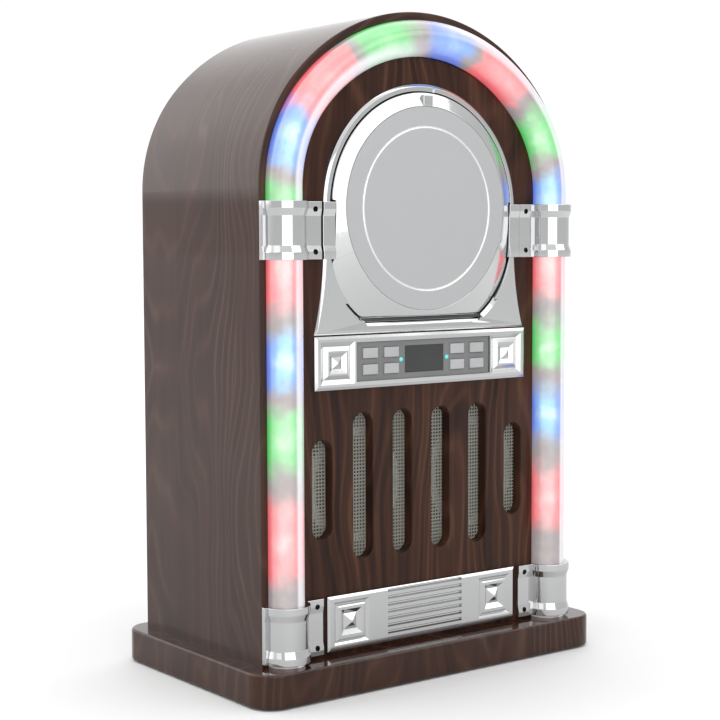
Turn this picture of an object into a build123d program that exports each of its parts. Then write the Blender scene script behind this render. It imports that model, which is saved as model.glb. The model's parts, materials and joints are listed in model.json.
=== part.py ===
"""A table-top CD jukebox: arched wooden cabinet, lit tubes, chrome trim and a front-loading player.

Millimetres. +Z is up, the front faces -Y and +X is to the right of a person looking at the front.
The origin is on the floor, under the middle of the plinth.
"""
import os
from math import asin, atan2, cos, degrees, radians

from build123d import *

os.makedirs("parts", exist_ok=True)

# ---------------------------------------------------------------- driving dimensions
# Plinth and feet
FOOT_STAND = 1.5
PLINTH_WIDTH = 295.0
PLINTH_DEPTH = 182.0
PLINTH_HEIGHT = 21.8
PLINTH_CORNER = 18.0
PLINTH_TOP = FOOT_STAND + PLINTH_HEIGHT
FOOT_X = 118.0
FOOT_Y = 64.0

# Cabinet outline: two straight sides under an arch of three arcs
HALF_WIDTH = 134.0
CABINET_FRONT = -68.75
CABINET_BACK = 78.75
SPRING_Z = 331.9
ARCH_RISE = 119.6
SIDE_RADIUS = 108.0
WALL = 9.0
SIDE_CENTRE_X = HALF_WIDTH - SIDE_RADIUS
TOP_RADIUS = (SIDE_CENTRE_X**2 + ARCH_RISE**2 - SIDE_RADIUS**2) / (2 * (ARCH_RISE - SIDE_RADIUS))
TOP_CENTRE_Z = SPRING_Z + ARCH_RISE - TOP_RADIUS
ARCH_ANGLE = degrees(atan2(SPRING_Z - TOP_CENTRE_Z, SIDE_CENTRE_X))

# Front baffle
BAFFLE_FRONT = -67.5
BAFFLE_BACK = -59.5
GLUE_GAP = 0.2
SLOT_WIDTH = 16.2
SLOT_PITCH = 33.8
SLOT_Z = 134.0
SHORT_SLOT = 66.0
LONG_SLOT = 98.8

# Light tubes: a D-shaped diffuser that follows the cabinet outline
TUBE_INSET = 17.75
TUBE_RADIUS = 12.2
TUBE_WALL = 2.0
TUBE_Y = -70.45
TUBE_BACK = -64.7
REBATE_BACK = -64.5
TUBE_X = HALF_WIDTH - TUBE_INSET

# Clamps over the tubes
CLAMP_HEIGHT = 37.5
CLAMP_RIM = 4.8
CLAMP_TAPER = 4.4
CLAMP_UPPER_Z = 304.7
CLAMP_LOWER_Z = 44.3
CLAMP_INNER_X = 87.1
CLAMP_SCREW_X = 92.4
CLAMP_SCREW_SPACING = 27.6

# CD door and everything that shares its outline
DOOR_Z = 319.5
DOOR_RADIUS = 78.4
DOOR_SIDE_Z = 296.5
DOOR_SIDE_RADIUS = 60.0
DOOR_BOTTOM_Z = 247.2
DOOR_BACK = -64.0
DISC_RADIUS = 69.25
DISC_FRONT = -74.1
RIM_SLOPE = 0.35
HINGE_Y = -66.5
HINGE_Z = 249.2
BEZEL_RADIUS = 84.0
BEZEL_FRONT = -70.15
BEZEL_BOTTOM = 236.2
BEZEL_FOOT = 92.0
LUG_INNER_X = 76.4
TROUGH_BOTTOM = 241.3

# CD well and mechanism
WELL_FLOOR = -46.0
DISC_SEAT = -52.0
CHASSIS_FRONT = -31.0
RAIL_Y = -37.0
RAIL_SPREAD = 17.0
SLED_START = 24.0
SLED_TRAVEL = 34.0
SCREW_DROP = 23.0
SCREW_RADIUS = 1.25
SCREW_PITCH = 3.0
RAIL_RADIUS = 1.5
SPINDLE_RADIUS = 1.0
RUNNING_FIT = 0.08

# Control fascia
FASCIA_WIDTH = 184.8
FASCIA_HEIGHT = 35.3
FASCIA_Z = 217.8
FASCIA_FRONT = -71.2
INLAY_WIDTH = 117.6
INLAY_HEIGHT = 25.8
INLAY_FRONT = -70.2
SQUARE_X = 74.2
# A square's tray, ridge, well and pyramid: widest size, slope of each wall, depth or height.
FASCIA_SQUARE = ((28.0, 2.9, 1.9), (21.6, 2.7, 1.9), (14.0, 3.1, 1.9), (7.8, 3.6, 2.1))
BUTTON_COLUMNS = (-47.0, -29.0, 29.0, 47.0)
BUTTON_ROWS = (5.5, -5.5)
BUTTON_WIDTH = 12.6
BUTTON_HEIGHT = 7.0
BUTTON_FRONT = -71.4
LAMP_X = 20.2

# Lower trim plate
PLATE_WIDTH = 166.2
PLATE_HEIGHT = 37.0
PLATE_Z = 44.5
PLATE_FRONT = -71.2
PLATE_SQUARE_X = 63.6
PLATE_SQUARE = ((29.0, 1.8, 1.6), (24.4, 1.6, 1.6), (17.4, 3.2, 2.4), (10.6, 4.6, 2.6))

# Loudspeakers and rear
SPEAKER_X = 52.0
SPEAKER_RADIUS = 39.0
REAR_FRONT = 71.75
REAR_BACK = 75.75
SOCKET_Z = 70.0


# ---------------------------------------------------------------- helpers
def finish(builder, label):
    """Label a finished piece and write its STEP file."""
    builder.part.label = label
    export_step(builder.part, f"parts/{label}.step")


def block(low, high, mode=Mode.ADD):
    """Add a box between two corners to the part being built."""
    size = [b - a for a, b in zip(low, high)]
    centre = tuple((a + b) / 2 for a, b in zip(low, high))
    with Locations(centre):
        Box(*size, mode=mode)


def rod_y(x, z, radius, front, back, mode=Mode.ADD):
    """Add a cylinder along Y between its front and back planes."""
    with Locations(Plane(origin=(x, back, z), z_dir=(0, -1, 0))):
        Cylinder(radius, back - front, align=(Align.CENTER, Align.CENTER, Align.MIN), mode=mode)


def rod_x(y, z, radius, left, right, mode=Mode.ADD):
    """Add a cylinder along X between its left and right ends."""
    with Locations(Plane(origin=(left, y, z), z_dir=(1, 0, 0))):
        Cylinder(radius, right - left, align=(Align.CENTER, Align.CENTER, Align.MIN), mode=mode)


def rod_z(x, y, radius, low, high, mode=Mode.ADD):
    """Add an upright cylinder between two heights."""
    with Locations((x, y, low)):
        Cylinder(radius, high - low, align=(Align.CENTER, Align.CENTER, Align.MIN), mode=mode)


def facing(y):
    """The plane that faces the front at depth y, with X to the right and Z up."""
    return Plane.XZ.offset(-y)


def cabinet_face(inset, base=PLINTH_TOP):
    """The arched cabinet outline as a flat face, moved in by inset on its sides and arch."""
    half = HALF_WIDTH - inset
    side = SIDE_RADIUS - inset
    top = TOP_RADIUS - inset
    with BuildSketch() as outline:
        with BuildLine():
            Line((half, base), (half, SPRING_Z))
            CenterArc((SIDE_CENTRE_X, SPRING_Z), side, 0, ARCH_ANGLE)
            CenterArc((0, TOP_CENTRE_Z), top, ARCH_ANGLE, 180 - 2 * ARCH_ANGLE)
            CenterArc((-SIDE_CENTRE_X, SPRING_Z), side, 180 - ARCH_ANGLE, ARCH_ANGLE)
            Line((-half, SPRING_Z), (-half, base))
            Line((-half, base), (half, base))
        make_face()
    return outline.sketch


def door_face(grow=0.0):
    """The door outline as a flat face, moved out by grow: round top, bowed sides, flat bottom."""
    radius = DOOR_RADIUS + grow
    bow = DOOR_SIDE_RADIUS + grow
    bow_x = DOOR_RADIUS - DOOR_SIDE_RADIUS
    bottom = DOOR_BOTTOM_Z - grow
    drop = degrees(asin((DOOR_SIDE_Z - bottom) / bow))
    corner_x = bow_x + bow * cos(radians(drop))
    with BuildSketch() as outline:
        with BuildLine():
            CenterArc((0, DOOR_Z), radius, 0, 180)
            Line((-radius, DOOR_Z), (-radius, DOOR_SIDE_Z))
            CenterArc((-bow_x, DOOR_SIDE_Z), bow, 180, drop)
            Line((-corner_x, bottom), (corner_x, bottom))
            CenterArc((bow_x, DOOR_SIDE_Z), bow, -drop, drop)
            Line((radius, DOOR_SIDE_Z), (radius, DOOR_Z))
        make_face()
        fillet(outline.vertices().group_by(Axis.Y)[0], 3)
    return outline.sketch


def bezel_face(inset=0.0):
    """The bezel outline: an arch round the door that flares out to the width of the fascia."""
    half = BEZEL_RADIUS - inset
    foot = BEZEL_FOOT - inset
    base = BEZEL_BOTTOM + inset
    flare_top = 296.0
    flare = ((flare_top - base) ** 2 + (foot - half) ** 2) / (2 * (foot - half))
    with BuildSketch() as outline:
        with BuildLine():
            CenterArc((0, DOOR_Z), half, 0, 180)
            Line((-half, DOOR_Z), (-half, flare_top))
            RadiusArc((-half, flare_top), (-foot, base), -flare)
            Line((-foot, base), (foot, base))
            RadiusArc((foot, base), (half, flare_top), -flare)
            Line((half, flare_top), (half, DOOR_Z))
        make_face()
    return outline.sketch


def ridged_profile(back, rim_front, waist_front, height):
    """The clamp's profile seen from its end: thick rims, tapers and a thinner waist."""
    half = height / 2
    taper_end = half - CLAMP_RIM - CLAMP_TAPER
    Polyline(
        (back, -half),
        (rim_front, -half),
        (rim_front, -half + CLAMP_RIM),
        (waist_front, -taper_end),
        (waist_front, taper_end),
        (rim_front, half - CLAMP_RIM),
        (rim_front, half),
        (back, half),
        close=True,
    )


def square_sketch(x, z, size, y):
    """An upright square, centred at x and z, on the plane at depth y."""
    with BuildSketch(facing(y)) as square:
        with Locations((x, z)):
            Rectangle(size, size)
    return square.sketch


def pyramid_square(x, z, front, tray, ridge, well, pyramid):
    """Sink a square tray in a plate, and raise a mitred ridge in it round a well with a pyramid.

    Each is its widest size, how far each of its walls slopes in, and its depth or height.
    """

    def sloped(y, shape, sunk):
        size, slope, rise = shape
        outline = square_sketch(x, z, size, y)
        angle = degrees(atan2(slope, rise))
        if sunk:
            extrude(outline, amount=-rise, taper=angle, mode=Mode.SUBTRACT)
        else:
            extrude(outline, amount=rise, taper=angle)

    tray_floor = front + tray[2]
    ridge_top = tray_floor - ridge[2]
    sloped(front, tray, sunk=True)
    sloped(tray_floor, ridge, sunk=False)
    sloped(ridge_top, well, sunk=True)
    sloped(ridge_top + well[2], pyramid, sunk=False)


# ---------------------------------------------------------------- plinth, feet and cabinet
FOOT_PLACES = [(x, y) for x in (-FOOT_X, FOOT_X) for y in (-FOOT_Y, FOOT_Y)]
BASE_SCREW_PLACES = [(x, y) for x in (-116.0, 116.0) for y in (-36.0, 44.0)]
SHELL_INSIDE = HALF_WIDTH - WALL
REAR_SCREW_PLACES = [(side * (SHELL_INSIDE - 8.0), z) for side in (-1, 1) for z in (60.0, 180.0, 300.0)]
REAR_SCREW_PLACES += [(-60.0, 418.0), (60.0, 418.0)]
CLAMP_SCREW_PLACES = [
    (side * CLAMP_SCREW_X, centre_z + half * CLAMP_SCREW_SPACING / 2)
    for side in (-1, 1)
    for centre_z in (CLAMP_LOWER_Z, CLAMP_UPPER_Z)
    for half in (-1, 1)
]
SPEAKER_SCREW_PLACES = [
    (side * SPEAKER_X + across, SLOT_Z + up)
    for side in (-1, 1)
    for across in (-15.0, 15.0)
    for up in (-33.3, 33.3)
]
CONTROL_SCREW_PLACES = [(x, FASCIA_Z + up) for x in (-62.0, 62.0) for up in (-12.0, 12.0)]

with BuildPart() as plinth:
    with BuildSketch(Plane.XY.offset(FOOT_STAND)):
        RectangleRounded(PLINTH_WIDTH, PLINTH_DEPTH, PLINTH_CORNER)
    extrude(amount=PLINTH_HEIGHT)
    fillet(plinth.faces().sort_by(Axis.Z)[-1].edges(), 1.6)
    chamfer(plinth.faces().sort_by(Axis.Z)[0].edges(), 0.8)
    for foot_x, foot_y in FOOT_PLACES:
        rod_z(foot_x, foot_y, 8.3, FOOT_STAND, FOOT_STAND + 2.0, mode=Mode.SUBTRACT)
    for screw_x, screw_y in BASE_SCREW_PLACES:
        rod_z(screw_x, screw_y, 4.2, FOOT_STAND, FOOT_STAND + 6.0, mode=Mode.SUBTRACT)
        rod_z(screw_x, screw_y, 2.2, FOOT_STAND, PLINTH_TOP, mode=Mode.SUBTRACT)
finish(plinth, "plinth")

with BuildPart() as rubber_feet:
    with Locations([(x, y, 0) for x, y in FOOT_PLACES]):
        Cylinder(8.0, FOOT_STAND + 2.0, align=(Align.CENTER, Align.CENTER, Align.MIN))
    chamfer(rubber_feet.faces().group_by(Axis.Z)[0].edges(), 0.4)
finish(rubber_feet, "rubber_feet")

with BuildPart() as cabinet_shell:
    with BuildSketch(facing(CABINET_BACK)):
        add(cabinet_face(0))
        add(cabinet_face(WALL), mode=Mode.SUBTRACT)
    extrude(amount=CABINET_BACK - CABINET_FRONT)
    with BuildSketch(facing(REBATE_BACK)):
        add(cabinet_face(TUBE_INSET - TUBE_RADIUS - 0.25))
    extrude(amount=REBATE_BACK - CABINET_FRONT + 1, mode=Mode.SUBTRACT)
finish(cabinet_shell, "cabinet_shell")

with BuildPart() as front_baffle:
    with BuildSketch(facing(BAFFLE_BACK)):
        add(cabinet_face(WALL + GLUE_GAP))
    extrude(amount=BAFFLE_BACK - BAFFLE_FRONT)
    with BuildSketch(facing(REBATE_BACK)):
        add(cabinet_face(0))
        add(cabinet_face(TUBE_INSET + TUBE_RADIUS + 0.3), mode=Mode.SUBTRACT)
    extrude(amount=REBATE_BACK - BAFFLE_FRONT + 1, mode=Mode.SUBTRACT)
    with BuildSketch(facing(BAFFLE_BACK)):
        with GridLocations(SLOT_PITCH, 0, 4, 1):
            with Locations((0, SLOT_Z)):
                SlotOverall(LONG_SLOT, SLOT_WIDTH, rotation=90)
        with Locations((-2.5 * SLOT_PITCH, SLOT_Z), (2.5 * SLOT_PITCH, SLOT_Z)):
            SlotOverall(SHORT_SLOT, SLOT_WIDTH, rotation=90)
        add(door_face(3.3))
        with Locations((0, 243.0)):
            Rectangle(116, 7.4)
        with Locations((0, FASCIA_Z)):
            Rectangle(114, 23)
    extrude(amount=BAFFLE_BACK - BAFFLE_FRONT, mode=Mode.SUBTRACT)
    for screw_x, screw_z in CLAMP_SCREW_PLACES:
        rod_y(screw_x, screw_z, 1.05, BAFFLE_FRONT, BAFFLE_BACK, mode=Mode.SUBTRACT)
    for screw_x, screw_z in SPEAKER_SCREW_PLACES + CONTROL_SCREW_PLACES:
        rod_y(screw_x, screw_z, 1.55, -66.5, BAFFLE_BACK, mode=Mode.SUBTRACT)
finish(front_baffle, "front_baffle")

with BuildPart() as glue_blocks:
    with BuildSketch(facing(REAR_FRONT)):
        with Locations(REAR_SCREW_PLACES):
            Rectangle(28, 28)
        add(cabinet_face(WALL + 0.1), mode=Mode.INTERSECT)
    extrude(amount=16)
    for screw_x, screw_z in REAR_SCREW_PLACES:
        rod_y(screw_x, screw_z, 1.6, 60.0, REAR_FRONT, mode=Mode.SUBTRACT)
    for screw_x, screw_y in BASE_SCREW_PLACES:
        side = 1 if screw_x > 0 else -1
        left, right = sorted((side * 108.0, side * (SHELL_INSIDE - 0.1)))
        block((left, screw_y - 12, PLINTH_TOP), (right, screw_y + 12, PLINTH_TOP + 16))
        rod_z(screw_x, screw_y, 2.1, PLINTH_TOP, PLINTH_TOP + 14, mode=Mode.SUBTRACT)
finish(glue_blocks, "glue_blocks")

with BuildPart() as base_screws:
    for screw_x, screw_y in BASE_SCREW_PLACES:
        rod_z(screw_x, screw_y, 4.0, FOOT_STAND + 3.0, FOOT_STAND + 6.0)
        rod_z(screw_x, screw_y, 2.0, FOOT_STAND + 6.0, PLINTH_TOP + 12)
finish(base_screws, "base_screws")


# ---------------------------------------------------------------- light tubes and clamps
def tube_section(x):
    """The D-shaped diffuser in section: a round front and an open back."""
    with BuildSketch() as section:
        with Locations((x, TUBE_Y)):
            Circle(TUBE_RADIUS)
            Circle(TUBE_RADIUS - TUBE_WALL, mode=Mode.SUBTRACT)
        with Locations((x, TUBE_BACK)):
            Rectangle(40, 40, align=(Align.CENTER, Align.MIN), mode=Mode.SUBTRACT)
    return section.sketch


def strip_section(x):
    """The LED strip in section, lying on the floor of the tube's channel."""
    with BuildSketch() as section:
        with Locations((x, REBATE_BACK - 0.5)):
            Rectangle(8.0, 0.8)
    return section.sketch


with BuildLine(facing(TUBE_Y)) as arch_path:
    Line((TUBE_X, CLAMP_UPPER_Z + 0.1), (TUBE_X, SPRING_Z))
    CenterArc((SIDE_CENTRE_X, SPRING_Z), SIDE_RADIUS - TUBE_INSET, 0, ARCH_ANGLE)
    CenterArc((0, TOP_CENTRE_Z), TOP_RADIUS - TUBE_INSET, ARCH_ANGLE, 180 - 2 * ARCH_ANGLE)
    CenterArc((-SIDE_CENTRE_X, SPRING_Z), SIDE_RADIUS - TUBE_INSET, 180 - ARCH_ANGLE, ARCH_ANGLE)
    Line((-TUBE_X, SPRING_Z), (-TUBE_X, CLAMP_UPPER_Z + 0.1))

with BuildPart() as tube_arch:
    with BuildSketch(Plane.XY.offset(CLAMP_UPPER_Z + 0.1)):
        add(tube_section(TUBE_X))
    sweep(path=arch_path.wires()[0])
finish(tube_arch, "tube_arch")

for label, side in (("tube_left", -1), ("tube_right", 1)):
    with BuildPart() as tube_column:
        with BuildSketch(Plane.XY.offset(PLINTH_TOP + 0.1)):
            add(tube_section(side * TUBE_X))
        extrude(amount=CLAMP_UPPER_Z - PLINTH_TOP - 0.2)
    finish(tube_column, label)

LED_BACK = REBATE_BACK - 0.9
LED_ARCH = Plane(origin=(0, LED_BACK, TOP_CENTRE_Z), x_dir=(1, 0, 0), z_dir=(0, -1, 0))

with BuildPart() as led_strips:
    with BuildSketch(Plane.XY.offset(CLAMP_UPPER_Z + 0.1)):
        add(strip_section(TUBE_X))
    sweep(path=arch_path.wires()[0])
    for side in (-1, 1):
        with BuildSketch(Plane.XY.offset(PLINTH_TOP + 2)):
            add(strip_section(side * TUBE_X))
        extrude(amount=CLAMP_UPPER_Z - PLINTH_TOP - 3)
        for step in range(15):
            led_x, led_z = side * TUBE_X, 44.0 + 17.0 * step
            block((led_x - 2.5, LED_BACK - 1.6, led_z - 2.5), (led_x + 2.5, LED_BACK, led_z + 2.5))
    with Locations(LED_ARCH):
        with PolarLocations(TOP_RADIUS - TUBE_INSET, 12, ARCH_ANGLE, 180 - 2 * ARCH_ANGLE, endpoint=True):
            Box(5, 5, 1.6, align=(Align.CENTER, Align.CENTER, Align.MIN))
finish(led_strips, "led_strips")


def clamp(label, side, centre_z):
    """One chrome clamp: a flared band round the tube on a flat base plate with two screw holes."""
    tube_x = side * TUBE_X
    outer_x = max(side * HALF_WIDTH, side * CLAMP_INNER_X)
    with BuildPart() as body:
        with BuildSketch(Plane(origin=(tube_x, TUBE_Y, centre_z), x_dir=(1, 0, 0), z_dir=(0, -1, 0))):
            with BuildLine():
                ridged_profile(TUBE_RADIUS + 0.3, TUBE_RADIUS + 3.8, TUBE_RADIUS + 2.3, CLAMP_HEIGHT)
            make_face()
        revolve(axis=Axis((tube_x, TUBE_Y, 0), (0, 0, 1)))
        with BuildSketch(Plane(origin=(outer_x, 0, centre_z), x_dir=(0, -1, 0), z_dir=(-1, 0, 0))):
            with BuildLine():
                ridged_profile(-BAFFLE_FRONT, 72.2, 71.2, CLAMP_HEIGHT)
            make_face()
        extrude(amount=HALF_WIDTH - CLAMP_INNER_X)
        rod_z(tube_x, TUBE_Y, TUBE_RADIUS + 0.3, centre_z - 30, centre_z + 30, mode=Mode.SUBTRACT)
        low, high = centre_z - 30, centre_z + 30
        block((tube_x - 30, BAFFLE_FRONT, low), (tube_x + 30, -40, high), mode=Mode.SUBTRACT)
        left, right = sorted((side * (SHELL_INSIDE - 0.2), side * (HALF_WIDTH + 1)))
        block((left, CABINET_FRONT - 0.05, low), (right, -40, high), mode=Mode.SUBTRACT)
        for half in (-1, 1):
            screw_z = centre_z + half * CLAMP_SCREW_SPACING / 2
            rod_y(side * CLAMP_SCREW_X, screw_z, 1.3, -73, BAFFLE_FRONT, mode=Mode.SUBTRACT)
            rod_y(side * CLAMP_SCREW_X, screw_z, 1.9, -73, -69.6, mode=Mode.SUBTRACT)
    finish(body, label)


clamp("clamp_upper_left", -1, CLAMP_UPPER_Z)
clamp("clamp_upper_right", 1, CLAMP_UPPER_Z)
clamp("clamp_lower_left", -1, CLAMP_LOWER_Z)
clamp("clamp_lower_right", 1, CLAMP_LOWER_Z)

with BuildPart() as clamp_screws:
    for screw_x, screw_z in CLAMP_SCREW_PLACES:
        rod_y(screw_x, screw_z, 1.7, -71.0, -69.6)
        rod_y(screw_x, screw_z, 1.0, -69.6, -61.5)
finish(clamp_screws, "clamp_screws")


# ---------------------------------------------------------------- CD bezel, door and catch
TROUGH_BACK = -64.5
LUG_HEIGHT = 37.3
LUG_Z = 304.65
EAR_INNER = 30.8
EAR_OUTER = 35.8
SWING_BEVEL = 40.0

with BuildPart() as trough_cutter:
    with BuildSketch(Plane(origin=(60, 0, 0), x_dir=(0, -1, 0), z_dir=(-1, 0, 0))):
        with BuildLine():
            Polyline(
                (-TROUGH_BACK, DOOR_BOTTOM_Z + 1),
                (-TROUGH_BACK, TROUGH_BOTTOM + 3.3),
                (-BEZEL_FRONT, TROUGH_BOTTOM),
                (75, TROUGH_BOTTOM - 2.8),
                (75, DOOR_BOTTOM_Z + 1),
                close=True,
            )
        make_face()
    extrude(amount=120)
    with BuildSketch(facing(-60)):
        with BuildLine():
            Polyline(
                (-55, DOOR_BOTTOM_Z + 1),
                (-46, TROUGH_BOTTOM - 2.8),
                (46, TROUGH_BOTTOM - 2.8),
                (55, DOOR_BOTTOM_Z + 1),
                close=True,
            )
        make_face()
    extrude(amount=20, mode=Mode.INTERSECT)

with BuildPart() as cd_bezel:
    with BuildSketch(facing(BAFFLE_FRONT)):
        add(bezel_face())
    extrude(amount=BAFFLE_FRONT - BEZEL_FRONT)
    chamfer(cd_bezel.faces().sort_by(Axis.Y)[0].edges(), 1.5)
    with BuildSketch(facing(-60)):
        add(door_face(0.5))
    extrude(amount=20, mode=Mode.SUBTRACT)
    block((-57, BAFFLE_FRONT, 239.8), (57, -60, DOOR_BOTTOM_Z - 0.5))
    add(trough_cutter.part, mode=Mode.SUBTRACT)
    # The opening's lower corners are bevelled, so that the door's corners clear them as it tips.
    with BuildSketch(facing(BAFFLE_FRONT)):
        add(door_face(0.5))
        with Locations((0, DOOR_BOTTOM_Z)):
            Rectangle(2 * BEZEL_RADIUS, 26, mode=Mode.INTERSECT)
    extrude(amount=BAFFLE_FRONT - BEZEL_FRONT, taper=-SWING_BEVEL, mode=Mode.SUBTRACT)
    # The finger notch above the pull tab
    block((-9.3, -72, 396), (9.3, -66, 400.9), mode=Mode.SUBTRACT)
    for side in (-1, 1):
        lug_x = max(side * LUG_INNER_X, side * BEZEL_RADIUS)
        with BuildSketch(Plane(origin=(lug_x, 0, LUG_Z), x_dir=(0, -1, 0), z_dir=(-1, 0, 0))):
            with BuildLine():
                ridged_profile(-BAFFLE_FRONT, 72.9, 71.9, LUG_HEIGHT)
            make_face()
        extrude(amount=BEZEL_RADIUS - LUG_INNER_X)
        left, right = sorted((side * EAR_INNER, side * EAR_OUTER))
        block((left, HINGE_Y, HINGE_Z - 2), (right, -60, HINGE_Z + 2))
        block((left, -62.5, DOOR_BOTTOM_Z - 2), (right, -60, HINGE_Z))
        rod_x(HINGE_Y, HINGE_Z, 2.0, left, right)
        rod_x(HINGE_Y, HINGE_Z, 1.02, left, right, mode=Mode.SUBTRACT)
finish(cd_bezel, "cd_bezel")

DISC_RECESS = -72.3

with BuildPart() as cd_door_shell:
    with BuildSketch(facing(DOOR_BACK)):
        add(door_face())
    extrude(amount=DOOR_BACK - DISC_FRONT)
    with BuildSketch(Plane(origin=(0, 0, DOOR_Z), x_dir=(1, 0, 0), z_dir=(0, 0, 1))):
        with BuildLine():
            Polyline(
                (0, DISC_FRONT),
                (DISC_RADIUS, DISC_FRONT),
                (DISC_RADIUS + 40, DISC_FRONT + 40 * RIM_SLOPE),
                (DISC_RADIUS + 40, -40),
                (0, -40),
                close=True,
            )
        make_face()
    revolve(axis=Axis((0, 0, DOOR_Z), (0, 1, 0)), mode=Mode.INTERSECT)
    rod_y(0, DOOR_Z, 66, -70.3, -60, mode=Mode.SUBTRACT)
    # The pull tab in front, and the hook behind it that the catch holds
    block((-4.2, -74.7, 388.5), (4.2, -68, 395.9))
    block((-3.5, DOOR_BACK - 1, 389), (3.5, -56, 391))
    block((-3.5, -58, 391), (3.5, -56, 392.3))
    rod_y(0, DOOR_Z, DISC_RADIUS - 0.45, -80, DISC_RECESS, mode=Mode.SUBTRACT)
    for side in (-1, 1):
        left, right = sorted((side * (LUG_INNER_X - 0.5), side * 82))
        block((left, -80, LUG_Z - 20), (right, -60, LUG_Z + 20), mode=Mode.SUBTRACT)
        left, right = sorted((side * (EAR_INNER - 0.8), side * (EAR_OUTER + 0.8)))
        block((left, -69.2, 246), (right, -60, HINGE_Z + 3.3), mode=Mode.SUBTRACT)
        left, right = sorted((side * 19.5, side * EAR_INNER))
        rod_x(HINGE_Y, HINGE_Z, 1.06, left, right, mode=Mode.SUBTRACT)
finish(cd_door_shell, "cd_door_shell")

with BuildPart() as cd_door_disc:
    rod_y(0, DOOR_Z, DISC_RADIUS - 0.6, DISC_FRONT, DISC_RECESS - 0.05)
    rod_y(0, DOOR_Z, 55.6, DISC_FRONT, DISC_FRONT + 0.5, mode=Mode.SUBTRACT)
    rod_y(0, DOOR_Z, 54.4, DISC_FRONT, DISC_FRONT + 0.5)
finish(cd_door_disc, "cd_door_disc")

with BuildPart() as door_hinge_pins:
    for side in (-1, 1):
        left, right = sorted((side * 20.5, side * EAR_OUTER))
        rod_x(HINGE_Y, HINGE_Z, 1.0, left, right)
finish(door_hinge_pins, "door_hinge_pins")

with BuildPart() as door_catch:
    block((-4, -62, 393.5), (4, -47, 394.1))
    block((-4, -49, 394.1), (4, -47, 398.2))
finish(door_catch, "door_catch")


# ---------------------------------------------------------------- CD well and mechanism
WELL_BACK = WELL_FLOOR + 2
CHASSIS_BACK = CHASSIS_FRONT + 2
MECH_PLACES = [(x, DOOR_Z + up) for x in (-34.0, 70.0) for up in (-32.0, 32.0)]
SCREW_Z = DOOR_Z - SCREW_DROP
RAIL_HEIGHTS = (DOOR_Z - RAIL_SPREAD, DOOR_Z + RAIL_SPREAD)

with BuildPart() as cd_well:
    with BuildSketch(facing(WELL_BACK)):
        add(door_face(3.0))
    extrude(amount=WELL_BACK + 67.3)
    with BuildSketch(facing(WELL_FLOOR)):
        add(door_face(1.0))
    extrude(amount=40, mode=Mode.SUBTRACT)
    with BuildSketch(facing(-57.4)):
        add(door_face(9.0))
        add(door_face(2.0), mode=Mode.SUBTRACT)
    extrude(amount=2.0)
    block((-58.3, -68, 243.5), (58.3, -59.7, 247.0), mode=Mode.SUBTRACT)
    rod_y(0, DOOR_Z, 5, -50, -40, mode=Mode.SUBTRACT)
    block((17, -50, DOOR_Z - 8), (66, -40, DOOR_Z + 8), mode=Mode.SUBTRACT)
    for mount_x, mount_z in MECH_PLACES:
        rod_y(mount_x, mount_z, 4.5, WELL_BACK - 0.5, -35)
        rod_y(mount_x, mount_z, 1.55, -43, -35, mode=Mode.SUBTRACT)
finish(cd_well, "cd_well")

with BuildPart() as mech_chassis:
    block((-42, CHASSIS_FRONT, DOOR_Z - 40), (88, CHASSIS_BACK, DOOR_Z + 40))
    for left, right in ((10.0, 13.0), (72.8, 75.0)):
        for rail_z in RAIL_HEIGHTS:
            block((left, -40, rail_z - 3), (right, CHASSIS_FRONT, rail_z + 3))
    block((10, -40, SCREW_Z - 3), (13, CHASSIS_FRONT, SCREW_Z + 3))
    for rail_z in RAIL_HEIGHTS:
        rod_x(RAIL_Y, rail_z, 1.52, 9, 76, mode=Mode.SUBTRACT)
    rod_x(RAIL_Y, SCREW_Z, SCREW_RADIUS + RUNNING_FIT, 9, 14, mode=Mode.SUBTRACT)
    rod_y(0, DOOR_Z, 3.7, -32, -28, mode=Mode.SUBTRACT)
    for mount_x, mount_z in MECH_PLACES:
        rod_y(mount_x, mount_z, 3.6, -32, -28, mode=Mode.SUBTRACT)
finish(mech_chassis, "mech_chassis")

with BuildPart() as mech_grommets:
    for mount_x, mount_z in MECH_PLACES:
        rod_y(mount_x, mount_z, 5.0, -34.95, CHASSIS_FRONT - 0.05)
        rod_y(mount_x, mount_z, 3.4, CHASSIS_FRONT - 0.05, CHASSIS_BACK + 0.05)
        rod_y(mount_x, mount_z, 5.0, CHASSIS_BACK + 0.05, -27.0)
        rod_y(mount_x, mount_z, 1.7, -35, -27, mode=Mode.SUBTRACT)
finish(mech_grommets, "mech_grommets")

with BuildPart() as mech_screws:
    for mount_x, mount_z in MECH_PLACES:
        rod_y(mount_x, mount_z, 2.8, -26.95, -25.0)
        rod_y(mount_x, mount_z, 1.5, -42, -26.95)
finish(mech_screws, "mech_screws")

with BuildPart() as spindle_motor:
    rod_y(0, DOOR_Z, 12.0, CHASSIS_BACK + 0.05, -18)
    fillet(spindle_motor.faces().sort_by(Axis.Y)[-1].edges(), 1.5)
    rod_y(0, DOOR_Z, 3.5, CHASSIS_FRONT - 1, CHASSIS_BACK + 0.05)
    rod_y(0, DOOR_Z, SPINDLE_RADIUS + RUNNING_FIT, -34, -17, mode=Mode.SUBTRACT)
finish(spindle_motor, "spindle_motor")

with BuildPart() as spindle_shaft:
    rod_y(0, DOOR_Z, SPINDLE_RADIUS, -54, -16.5)
finish(spindle_shaft, "spindle_shaft")

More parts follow.
